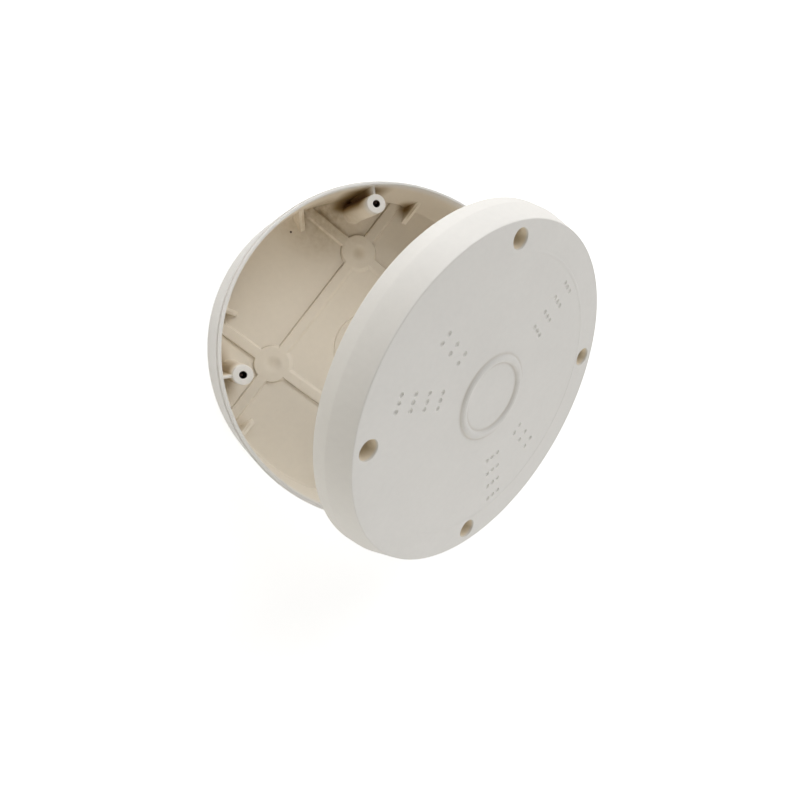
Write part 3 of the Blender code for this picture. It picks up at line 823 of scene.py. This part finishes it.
def cover_plastic(cover, box, finish):
    """Cover plastic, with painted shade in its screw recesses and at the raised ring's feet, in the leaning
    cover's frame.
    """
    material, tone = moulded_plastic("cover_plastic", finish)
    tree = material.node_tree
    maths = Maths(tree)
    seat = cover_seat(cover, box)
    inputs = {
        "Vector": tree.nodes.new("ShaderNodeTexCoord").outputs["Object"],
        "Location": seat.to_translation(), "Rotation": seat.to_euler()}
    place = add_node(tree, "ShaderNodeMapping", inputs, vector_type="TEXTURE").outputs["Vector"]
    # Painted warm shade inside the screw recesses, above their seats.
    recess = masked(
        tree, round_pockets, place, corner=boss_corner(box), radius=cover.recess_radius * RECESS_MARGIN,
        rim=cover.depth - cover.recess_edge, fade=RECESS_FADE)
    height = add_node(tree, "ShaderNodeSeparateXYZ", {0: place}).outputs["Z"]
    above_seat = maths.of(
        "GREATER_THAN", height, cover.depth - cover.recess_depth - cover.seat_thickness / 2)
    # Painted shade lines at the feet of the raised ring.
    feet = [
        masked(tree, turned_line, place, radius=cover.bead_radius + side * cover.bead_width / 2,
               height=cover.depth, width=RING_CREASE_WIDTH) for side in (-1, 1)]
    shown = layered(
        tree, finish.cover_colour,
        (finish.ring_shade_colour, maths.product(maths.largest(*feet), finish.ring_shade_strength)),
        (finish.recess_shade_colour, maths.product(recess, above_seat)))
    tree.links.new(shown, tone)
    return material


def plated_steel(name, finish):
    """Zinc plated screw steel, a little uneven in gloss."""
    material, shader, tone = grained_material(name, STEEL_MOTTLE, finish.screw_roughness, STEEL_GRAIN)
    shader["Metallic"].default_value = 1.0
    tone.default_value = (*finish.screw_colour, 1.0)
    return material


def box_wall(sizes):
    """Radii of the wall: inside at the floor, inside at the lip, outside at the back, and its middle."""
    lip = sizes.radius - sizes.lip_step - sizes.lip_thickness
    back = sizes.radius - sizes.outer_draft
    return Wall(foot=lip - sizes.inner_draft, lip=lip, back=back, core=(lip + back) / 2)


def boss_top(sizes):
    """Height of the boss tops above the back."""
    return sizes.height - sizes.boss_setback


def boss_corner(sizes):
    """How far the bosses stand from the planes of X and of Y."""
    return sizes.boss_circle / math.sqrt(2)


def box_shell_grid(sizes):
    """Cup of the back box: floor with its groove, wall, lip, outside and back, all turned."""
    wall = box_wall(sizes)
    lip_outer = sizes.radius - sizes.lip_step
    step = sizes.height - sizes.lip_height
    groove_in = sizes.breakout_radius - sizes.groove_width / 2
    groove_out = sizes.breakout_radius + sizes.groove_width / 2
    soft = sizes.groove_width / 6
    corners = [
        (0.0, sizes.base, 0.0),
        (groove_in, sizes.base, soft),
        (sizes.breakout_radius, sizes.base - sizes.groove_depth, soft),
        (groove_out, sizes.base, soft),
        (wall.foot, sizes.base, sizes.floor_corner),
        (wall.lip, sizes.height, sizes.lip_edge),
        (lip_outer, sizes.height, sizes.lip_edge),
        (lip_outer, step, sizes.lip_edge / 2),
        (sizes.radius, step, sizes.lip_edge),
        (wall.back, 0.0, sizes.back_edge),
        (0.0, 0.0, 0.0)]
    return turned(filleted(corners))


def boss_grid(sizes):
    """One boss with its flared root, rounded top and pilot hole, standing at the origin on the floor.

    The pilot hole narrows a little with depth.
    """
    top = boss_top(sizes) - sizes.base
    root = sizes.boss_radius + sizes.boss_draft
    flare = sizes.foot_fillet * 2
    corners = [
        (0.0, -BURY, 0.0),
        (root + flare, -BURY, 0.0),
        (root + flare, 0.0, 0.0),
        (root, 0.0, flare * SNUG),
        (sizes.boss_radius, top, sizes.crest_fillet),
        (sizes.pilot_radius, top, sizes.crest_fillet / 2),
        *((sizes.pilot_radius * wide, top - sizes.pilot_depth * deep, 0.0) for wide, deep in PILOT_TAPER),
        (0.0, top - sizes.pilot_depth, 0.0)]
    return turned(filleted(corners), SMALL_TURN_STEPS)


def hub_grid(sizes):
    """One floor hub with its dish, standing at the origin on the floor.

    Two turned shapes with the same rows are mixed: one with a crisp upright side,
    one with a slope. The share of the slope at angle a is s squared (3 - 2 s), with
    s a quarter less the cosine of a, held between 0 and 1, so the slope lies on the
    side of -X, towards the middle of the box. The dish is a bowl: its depth is the
    full depth times the square of the cosine of a quarter turn times the radius
    over the dish's own.
    """
    top = sizes.rib_height + SKIN
    slope = sizes.rib_ramp / 2
    rim = sizes.dish_radius
    bowl = np.linspace(rim, 0.0, DISH_POINTS)
    dish = np.stack([bowl, top - sizes.dish_depth * np.cos(math.pi / 2 * bowl / rim) ** 2], axis=1)

    def shape(foot_radius, top_radius, foot, crest):
        """One of the two turned shapes: a foot, a side and the dished top."""
        corners = [
            (0.0, -BURY, 0.0),
            (foot_radius + foot * FOOT_SPREAD, -BURY, 0.0),
            (foot_radius + foot * FOOT_SPREAD, -SKIN, 0.0),
            (foot_radius, -SKIN / 2, foot * SNUG),
            (top_radius, top, crest),
            (rim, top, 0.0)]
        return turned(np.concatenate([filleted(corners)[:-1], dish]), SMALL_TURN_STEPS)

    crisp = shape(sizes.hub_radius, sizes.hub_radius, sizes.foot_fillet, sizes.crest_fillet)
    soft = shape(sizes.hub_radius + slope, sizes.hub_radius - slope, slope, slope)
    angle = np.linspace(0.0, math.tau, SMALL_TURN_STEPS, endpoint=False)
    inward = np.clip(0.25 - np.cos(angle), 0.0, 1.0)
    inward = (inward * inward * (3 - 2 * inward))[None, :, None]
    return crisp * (1 - inward) + soft * inward


def inner_ramp(rib, ramp, sizes):
    """The rib with a soft slope on its inner side, which is -Y.

    Over the slope's width the height is the rib's times t squared (3 - 2 t), where
    t runs from 0 at the foot to 1 at the top.
    """
    half = rib.shape[1] // 2
    t = np.linspace(0.0, 1.0, half - 1)
    rib[:, 1:half, 1] = -sizes.rib_width / 2 + ramp * (t - 0.5)
    rib[:, 0, 1] = rib[:, 1, 1]
    rib[:, 1:half, 2] = (sizes.rib_height + SKIN) * t * t * (3 - 2 * t) - SKIN
    return rib


def rib_grids(sizes):
    """Four floor ribs, each in three stretches between the hubs.

    An outer stretch runs from the hub to the middle of the round wall: at a
    sideways place y it ends at the root of core squared less y squared.
    """
    near = (sizes.hub_radius + sizes.dish_radius) / 2
    start = sizes.rib_offset + near

    def stretch(first, last, ramp):
        """A straight rib from the first place to the last, with its inner slope."""
        along = np.linspace(first, last, RIB_POINTS)
        rib = fin(along, sizes.rib_height, sizes.rib_width / 2, sizes.foot_fillet, sizes.crest_fillet)
        return inner_ramp(rib, ramp, sizes)

    inner = stretch(near - sizes.rib_offset, sizes.rib_offset - near, sizes.rib_ramp)
    outer = stretch(0.0, 1.0, sizes.outer_ramp)
    end = np.sqrt(box_wall(sizes).core ** 2 - (outer[..., 1] + sizes.rib_offset) ** 2)
    outer[..., 0] = start + outer[..., 0] * (end - start)
    mirrored = outer * (-1.0, 1.0, 1.0)
    place = (0.0, sizes.rib_offset, sizes.base)
    return [
        moved(bar, quarter * math.tau / 4, place) for quarter in range(4) for bar in (inner, outer, mirrored)]


def web_grids(sizes):
    """Thin webs: fins of one height from the middles of the bosses to the middle of the wall."""
    top = boss_top(sizes) - sizes.web_setback - sizes.base
    span = np.linspace(sizes.boss_circle, box_wall(sizes).core, WEB_POINTS)
    web = fin(span, top, sizes.web_thickness / 2, sizes.foot_fillet, sizes.web_thickness / 2)
    return at_corners(web, (0.0, 0.0, sizes.base))


def gusset_grids(sizes):
    """Eight gussets: fins whose height grows in a straight line from the foot to the wall."""
    wall = box_wall(sizes)
    top = wall.foot + sizes.inner_draft * sizes.gusset_rise / (sizes.height - sizes.base)
    start = wall.foot - sizes.gusset_reach
    along = np.linspace(start, wall.core, GUSSET_POINTS)
    height = (along - start) * sizes.gusset_rise / (top - start)
    gusset = fin(along, height, sizes.gusset_thickness / 2, sizes.foot_fillet, sizes.crest_fillet)
    return [
        moved(gusset, azimuth + side * GUSSET_SWING, (0.0, 0.0, sizes.base))
        for azimuth in CORNER_AZIMUTHS for side in (-1, 1)]


def bead_corners(radius, width, height, z):
    """Corners of a low rounded ring on a face, to be filleted.

    They are foot, shoulder, crest, shoulder and foot. BEAD_PROFILE gives each
    one's place across, its rise and its fillet as shares of width and height.
    """
    return [
        (radius + width * across, z + height * rise, width * fillet) for across, rise, fillet in BEAD_PROFILE]


def cover_shell_grid(sizes):
    """Cover shell: face with its two rings, skirt with its kink, rim and inside, all turned.

    The faint outer ring's height is multiplied by a half plus 0.9 times the cosine
    of the angle from its clearest side, held between 0 and 1, so it fades away.
    """
    face = sizes.rim_radius - sizes.face_inset
    kink = sizes.rim_radius - sizes.kink_inset
    kink_z = sizes.depth - sizes.kink_depth
    inner_z = sizes.depth - sizes.face_thickness
    lean = (kink - face) / sizes.kink_depth
    corners = [(0.0, sizes.depth, 0.0)]
    corners += bead_corners(sizes.bead_radius, sizes.bead_width, sizes.bead_height, sizes.depth)
    corners += bead_corners(
        sizes.fine_bead_radius, sizes.fine_bead_width, sizes.fine_bead_height, sizes.depth)
    corners += [
        (face, sizes.depth, sizes.face_edge),
        (kink, kink_z, sizes.kink_fillet),
        (sizes.rim_radius, 0.0, sizes.rim_edge),
        (sizes.rim_radius - sizes.wall, 0.0, sizes.rim_edge / 2),
        (kink - sizes.wall, kink_z, sizes.kink_fillet),
        (face - sizes.wall + lean * sizes.face_thickness, inner_z, sizes.face_edge),
        (0.0, inner_z, 0.0)]
    grid = turned(filleted(corners))
    reach = np.hypot(grid[..., 0], grid[..., 1])
    on_bead = (abs(reach - sizes.fine_bead_radius) < sizes.fine_bead_width) & (grid[..., 2] > inner_z + SKIN)
    angle = np.arctan2(grid[..., 1], grid[..., 0]) - FINE_BEAD_AZIMUTH
    fade = np.clip(0.5 + 0.9 * np.cos(angle), 0.0, 1.0)
    grid[..., 2] = np.where(on_bead, sizes.depth + (grid[..., 2] - sizes.depth) * fade, grid[..., 2])
    return grid


def post_grid(cover, box):
    """One stepped post under a recess: wide sleeve, then a slim foot over the boss of the box."""
    buried = cover.depth - cover.face_thickness / 2
    sleeve = cover.recess_radius + cover.recess_wall
    step = cover.depth - cover.recess_depth - cover.seat_thickness
    drop = box.boss_setback - cover.seat_gap
    soft = box.crest_fillet
    corners = [
        (0.0, buried, 0.0), (sleeve, buried, 0.0), (sleeve, step, soft), (box.boss_radius, step, soft),
        (box.boss_radius, -drop, soft), (0.0, -drop, 0.0)]
    return turned(filleted(corners), SMALL_TURN_STEPS)


def recess_grid(cover):
    """Cutter of one recess and the hole under it, with a flared mouth that rounds the edge."""
    floor = cover.depth - cover.recess_depth
    wide = cover.recess_radius + cover.recess_edge
    corners = [
        (0.0, -cover.depth, 0.0), (cover.hole_radius, -cover.depth, 0.0), (cover.hole_radius, floor, 0.0),
        (cover.recess_radius, floor, 0.0),
        (cover.recess_radius, cover.depth, cover.recess_edge * RECESS_SNUG),
        (wide, cover.depth, 0.0), (wide, cover.depth + CUTTER_MARGIN, 0.0),
        (0.0, cover.depth + CUTTER_MARGIN, 0.0)]
    return turned(filleted(corners), SMALL_TURN_STEPS)


def mark_grid(cover):
    """Cutter of one starter mark: a small bowl.

    Its depth at radius r is the full depth times the square root of the cosine of
    a quarter turn times r over the mark's radius, so it is steep only at its rim.
    """
    part = np.linspace(0.0, 1.0, MARK_POINTS)
    bowl = cover.depth - cover.mark_depth * np.sqrt(np.cos(math.pi / 2 * part).clip(0.0))
    above = cover.depth + CUTTER_MARGIN
    top = np.array([[cover.mark_radius, above], [0.0, above]])
    return turned(np.concatenate([np.stack([cover.mark_radius * part, bowl], axis=1), top]), MARK_STEPS)


def mark_places(cover):
    """Azimuth, radius and sideways shift of every starter mark, group by group."""
    return [
        (math.radians(azimuth), cover.mark_start + row * cover.mark_pitch, column * step)
        for azimuths, rows, columns, step in (
            (*WIDE_GROUPS, cover.wide_column), (*SLIM_GROUPS, cover.slim_column))
        for azimuth in azimuths for row in range(rows) for column in columns]


def cover_seat(cover, box):
    """Matrix that carries the cover from its own frame to where it leans on the lip.

    In the plane of the lean the rim's underside passes one seat gap above the
    outer corner of the lip and reaches past it by the wall less the bearing.
    """
    lip = np.array([box.radius - box.lip_step, 0.0, box.height])
    down = np.array([math.cos(cover.lean), 0.0, -math.sin(cover.lean)])
    normal = np.array([math.sin(cover.lean), 0.0, math.cos(cover.lean)])
    low_edge = lip + normal * cover.seat_gap + down * (cover.wall - cover.bearing)
    place = low_edge - down * cover.rim_radius
    return Matrix.Translation(place) @ Matrix.Rotation(cover.lean, 4, "Y")


def screw_grid(sizes):
    """Shank of a screw from under the head to the tip.

    The radius at height z and angle a is the core plus the thread's depth times a
    ridge. The ridge is the cube of a half plus half the cosine of a full turn times
    z over the pitch, less a. Near the tip the core runs down to a point, and the
    thread fades out under the head.
    """
    rows = np.linspace(0.0, -sizes.shank, THREAD_POINTS)[:, None]
    angle = np.linspace(0.0, math.tau, THREAD_STEPS, endpoint=False)[None, :]
    phase = rows / sizes.pitch - angle / math.tau
    ridge = (0.5 + 0.5 * np.cos(math.tau * phase)) ** 3
    taper = np.clip((sizes.shank + rows) / sizes.tip, 0.0, 1.0)
    fade = np.clip(-rows / sizes.pitch, 0.0, 1.0) * taper
    core = sizes.tip_radius + (sizes.radius - sizes.thread_depth - sizes.tip_radius) * taper
    radius = core + sizes.thread_depth * ridge * fade
    z = np.broadcast_to(rows, radius.shape)
    grid = np.stack([radius * np.cos(angle), radius * np.sin(angle), z], axis=2)
    point = np.zeros((1, grid.shape[1], 3))
    point[..., 2] = -sizes.shank
    return np.concatenate([grid, point])


def head_grid(sizes):
    """Pan head with a cross recess.

    The crown is turned. Its height at (x, y) is lowered by the depth of the cross
    times a soft step, which is 1 within either arm and 0 outside, times 1 less the
    recess's slope times the radius over the cross's reach.
    """
    radius, top = sizes.head_radius, sizes.head_height
    crown_top = top + HEAD_CROWN
    corners = [
        (0.0, -HEAD_SINK, 0.0), (sizes.radius, -HEAD_SINK, 0.0), (sizes.radius, 0.0, 0.0),
        (radius, 0.0, HEAD_FOOT_FILLET), (radius, top, HEAD_FILLET),
        (sizes.cross_reach * RIM_END, crown_top, 0.0)]
    crown_radius = np.linspace(sizes.cross_reach * CROWN_START, 0.0, CROWN_POINTS)
    crown = np.stack([crown_radius, np.full(CROWN_POINTS, crown_top)], axis=1)
    grid = turned(np.concatenate([filleted(corners, HEAD_FILLET_STEPS), crown]), HEAD_STEPS)
    x, y = grid[..., 0], grid[..., 1]

    def arm(along, across):
        """1 within an arm of the cross and 0 outside, with a soft edge."""
        inside = np.minimum(sizes.cross_reach - abs(along), sizes.cross_width - abs(across)) / CROSS_EDGE
        return np.clip(inside * 0.5 + 0.5, 0.0, 1.0)

    cross = np.maximum(arm(x, y), arm(y, x))
    slope = 1.0 - CROSS_SLOPE * np.hypot(x, y) / sizes.cross_reach
    on_crown = (grid[..., 2] > top - SKIN) & (np.hypot(x, y) < sizes.cross_reach * CUT_END)
    grid[..., 2] -= sizes.cross_depth * cross * np.clip(slope, 0.0, 1.0) * on_crown
    return grid


class BackBoxShell(bpy.types.Operator):
    """Cup of the back box: floor, wall, stepped lip and break-out groove"""
    bl_idname = "junction_box.back_box_shell"
    bl_label = "Back box shell"

    def execute(self, context):
        sizes, finish = context.scene.junction_box_box, context.scene.junction_box_finish
        box_plastic(sizes, finish)
        box_piece("back_box_shell", [box_shell_grid(sizes)])
        return {"FINISHED"}


class FloorGrid(bpy.types.Operator):
    """Floor ribs and dished hubs of the back box"""
    bl_idname = "junction_box.floor_grid"
    bl_label = "Floor ribs and hubs"

    def execute(self, context):
        sizes = context.scene.junction_box_box
        place = (sizes.rib_offset * math.sqrt(2), 0.0, sizes.base)
        box_piece("floor_ribs_and_hubs", rib_grids(sizes) + at_corners(hub_grid(sizes), place))
        return {"FINISHED"}


class Bosses(bpy.types.Operator):
    """Screw bosses of the back box, with their pilot holes and webs"""
    bl_idname = "junction_box.bosses"
    bl_label = "Screw bosses"

    def execute(self, context):
        sizes = context.scene.junction_box_box
        box_piece("screw_bosses", at_corners(boss_grid(sizes), (sizes.boss_circle, 0.0, sizes.base)))
        box_piece("boss_webs", web_grids(sizes))
        return {"FINISHED"}


class Gussets(bpy.types.Operator):
    """Eight gussets between the floor and the wall"""
    bl_idname = "junction_box.gussets"
    bl_label = "Gussets"

    def execute(self, context):
        box_piece("wall_gussets", gusset_grids(context.scene.junction_box_box))
        return {"FINISHED"}


class Cover(bpy.types.Operator):
    """Cover: shell, rings, screw recesses with their posts, and starter marks"""
    bl_idname = "junction_box.cover"
    bl_label = "Cover"

    def execute(self, context):
        scene = context.scene
        cover, box, finish = scene.junction_box_cover, scene.junction_box_box, scene.junction_box_finish
        piece = body("cover_moulding", [cover_shell_grid(cover)])
        circle = (box.boss_circle, 0.0, 0.0)
        posts = body("posts", at_corners(post_grid(cover, box), circle))
        recesses = body("recesses", at_corners(recess_grid(cover), circle))
        mark = mark_grid(cover)
        marks = body("marks", [
            moved(mark, azimuth, (radius, sideways, 0.0))
            for azimuth, radius, sideways in mark_places(cover)])
        cut(piece, [(posts, "UNION"), (recesses, "DIFFERENCE"), (marks, "DIFFERENCE")])
        piece.data.transform(cover_seat(cover, box))
        finish_piece(piece, cover_plastic(cover, box, finish), "cover_plastic", COVER_NODE)
        return {"FINISHED"}


class CoverScrews(bpy.types.Operator):
    """Four cover screws standing in the recesses of the cover"""
    bl_idname = "junction_box.cover_screws"
    bl_label = "Cover screws"

    def execute(self, context):
        scene = context.scene
        cover, box, sizes = scene.junction_box_cover, scene.junction_box_box, scene.junction_box_screw
        seat = cover_seat(cover, box)
        material = plated_steel("zinc_plated_steel", scene.junction_box_finish)
        height = cover.depth - cover.recess_depth + cover.seat_gap
        for node, azimuth in zip(SCREW_NODES, CORNER_AZIMUTHS):
            piece = body(node + "_threaded", [screw_grid(sizes), head_grid(sizes)])
            place = Matrix.Rotation(azimuth, 4, "Z") @ Matrix.Translation((box.boss_circle, 0.0, height))
            piece.data.transform(seat @ place)
            finish_piece(piece, material, "screw_steel", node)
        return {"FINISHED"}


class Stage(bpy.types.Operator):
    """Pale floor, soft lamps and the camera at the photograph's angle"""
    bl_idname = "junction_box.stage"
    bl_label = "Stage"

    def execute(self, context):
        settings = context.scene.junction_box_stage
        make_floor(settings)
        make_sky(settings)
        make_lamps(settings)
        make_camera(settings)
        context.scene.view_settings.view_transform = "Standard"
        return {"FINISHED"}


def make_floor(settings):
    """A wide pale floor that keeps the shadow and looks white to the camera away from it."""
    bpy.ops.mesh.primitive_plane_add(size=FLOOR_SIDE)
    floor = bpy.context.object
    floor.name = "stage_floor"
    material = bpy.data.materials.new("pale_floor")
    material.use_nodes = True
    tree = material.node_tree
    maths = Maths(tree)
    shader = tree.nodes["Principled BSDF"]
    shader.inputs["Base Color"].default_value = (*settings.floor_colour, 1.0)
    shader.inputs["Roughness"].default_value = FLOOR_ROUGHNESS
    place = tree.nodes.new("ShaderNodeTexCoord").outputs["Object"]
    away = maths.of("SUBTRACT", distance_to(tree, place, (0.0, 0.0, 0.0)), settings.shadow_reach, clamp=True)
    white = maths.of("ADD", settings.floor_glow, maths.product(away, 1.0 - settings.floor_glow))
    seen = tree.nodes.new("ShaderNodeLightPath").outputs["Is Camera Ray"]
    glow = add_node(tree, "ShaderNodeEmission", {"Color": WHITE, "Strength": maths.product(seen, white)})
    both = add_node(tree, "ShaderNodeAddShader", {0: shader.outputs[0], 1: glow.outputs[0]})
    tree.links.new(both.outputs[0], tree.nodes["Material Output"].inputs["Surface"])
    floor.data.materials.append(material)


def make_sky(settings):
    """Even light from all round, white to the camera."""
    world = bpy.data.worlds.new("studio")
    bpy.context.scene.world = world
    world.use_nodes = True
    tree = world.node_tree
    background = tree.nodes["Background"].inputs
    background["Color"].default_value = WHITE
    seen = tree.nodes.new("ShaderNodeLightPath").outputs["Is Camera Ray"]
    strength = Maths(tree).of("MULTIPLY_ADD", seen, 1.0 - settings.sky, settings.sky)
    tree.links.new(strength, background["Strength"])


def aim(place, target, roll=0.0):
    """Matrix of a camera or lamp at a place, looking at a target, rolled about its line of sight."""
    back = np.array(place) - np.array(target)
    back = back / np.linalg.norm(back)
    right = np.cross((0.0, 0.0, 1.0), back)
    right = right / np.linalg.norm(right)
    up = np.cross(back, right)
    turn = Matrix(np.stack([right, up, back], axis=1).tolist()).to_4x4()
    return Matrix.Translation(place) @ turn @ Matrix.Rotation(roll, 4, "Z")


def make_lamps(settings):
    """The square soft lamps round the object, low over the floor on most sides."""
    for name, place, watts, tint in SOFT_PANELS:
        lamp = bpy.data.lights.new(name, "AREA")
        lamp.shape = "SQUARE"
        lamp.size = settings.lamp_size
        lamp.energy = watts * settings.lamp_scale
        lamp.color = tint
        holder = bpy.data.objects.new(name, lamp)
        bpy.context.scene.collection.objects.link(holder)
        holder.matrix_world = aim(place, LAMP_TARGET)


def make_camera(settings):
    """The photograph's camera: its place, its turn about the line of sight and the off-centre frame."""
    azimuth, elevation = settings.camera_azimuth, settings.camera_elevation
    back = np.array([
        math.sin(azimuth) * math.cos(elevation), -math.cos(azimuth) * math.cos(elevation),
        math.sin(elevation)])
    place = np.array(CAMERA_PLACE_MM) * MM
    camera = bpy.data.cameras.new("photo_camera")
    camera.sensor_width = SENSOR_MM
    camera.lens = FOCAL_PIXELS / FRAME_PIXELS * SENSOR_MM
    camera.shift_x = 0.5 - AXIS_PIXEL_X / FRAME_PIXELS
    camera.shift_y = AXIS_PIXEL_Y / FRAME_PIXELS - 0.5
    camera.clip_start = CLIP_START
    camera.clip_end = CLIP_END
    holder = bpy.data.objects.new("photo_camera", camera)
    bpy.context.scene.collection.objects.link(holder)
    holder.matrix_world = aim(place, place - back, settings.camera_roll)
    bpy.context.scene.camera = holder


OPERATORS = (BackBoxShell, FloorGrid, Bosses, Gussets, Cover, CoverScrews, Stage)
GROUPS = (
    (BoxSizes, "junction_box_box"), (CoverSizes, "junction_box_cover"), (ScrewSizes, "junction_box_screw"),
    (Finish, "junction_box_finish"), (StageSettings, "junction_box_stage"))


class JunctionBoxPanel(bpy.types.Panel):
    """Lists the pieces of the junction box"""
    bl_idname = "VIEW3D_PT_junction_box"
    bl_label = "Junction box"
    bl_space_type = "VIEW_3D"
    bl_region_type = "UI"
    bl_category = "Junction box"

    def draw(self, context):
        for operator in OPERATORS:
            self.layout.operator(operator.bl_idname)


def register():
    """Adds the sizes, the operators and the panel."""
    for group, name in GROUPS:
        bpy.utils.register_class(group)
        setattr(bpy.types.Scene, name, PointerProperty(type=group))
    for cls in (*OPERATORS, JunctionBoxPanel):
        bpy.utils.register_class(cls)


def unregister():
    """Takes them away again."""
    for cls in reversed((*OPERATORS, JunctionBoxPanel)):
        bpy.utils.unregister_class(cls)
    for group, name in reversed(GROUPS):
        delattr(bpy.types.Scene, name)
        bpy.utils.unregister_class(group)


def main():
    """Builds every piece and the stage."""
    register()
    bpy.ops.junction_box.back_box_shell()
    bpy.ops.junction_box.floor_grid()
    bpy.ops.junction_box.bosses()
    bpy.ops.junction_box.gussets()
    bpy.ops.junction_box.cover()
    bpy.ops.junction_box.cover_screws()
    bpy.ops.junction_box.stage()
    bpy.context.view_layer.update()


if __name__ == "__main__":
    main()
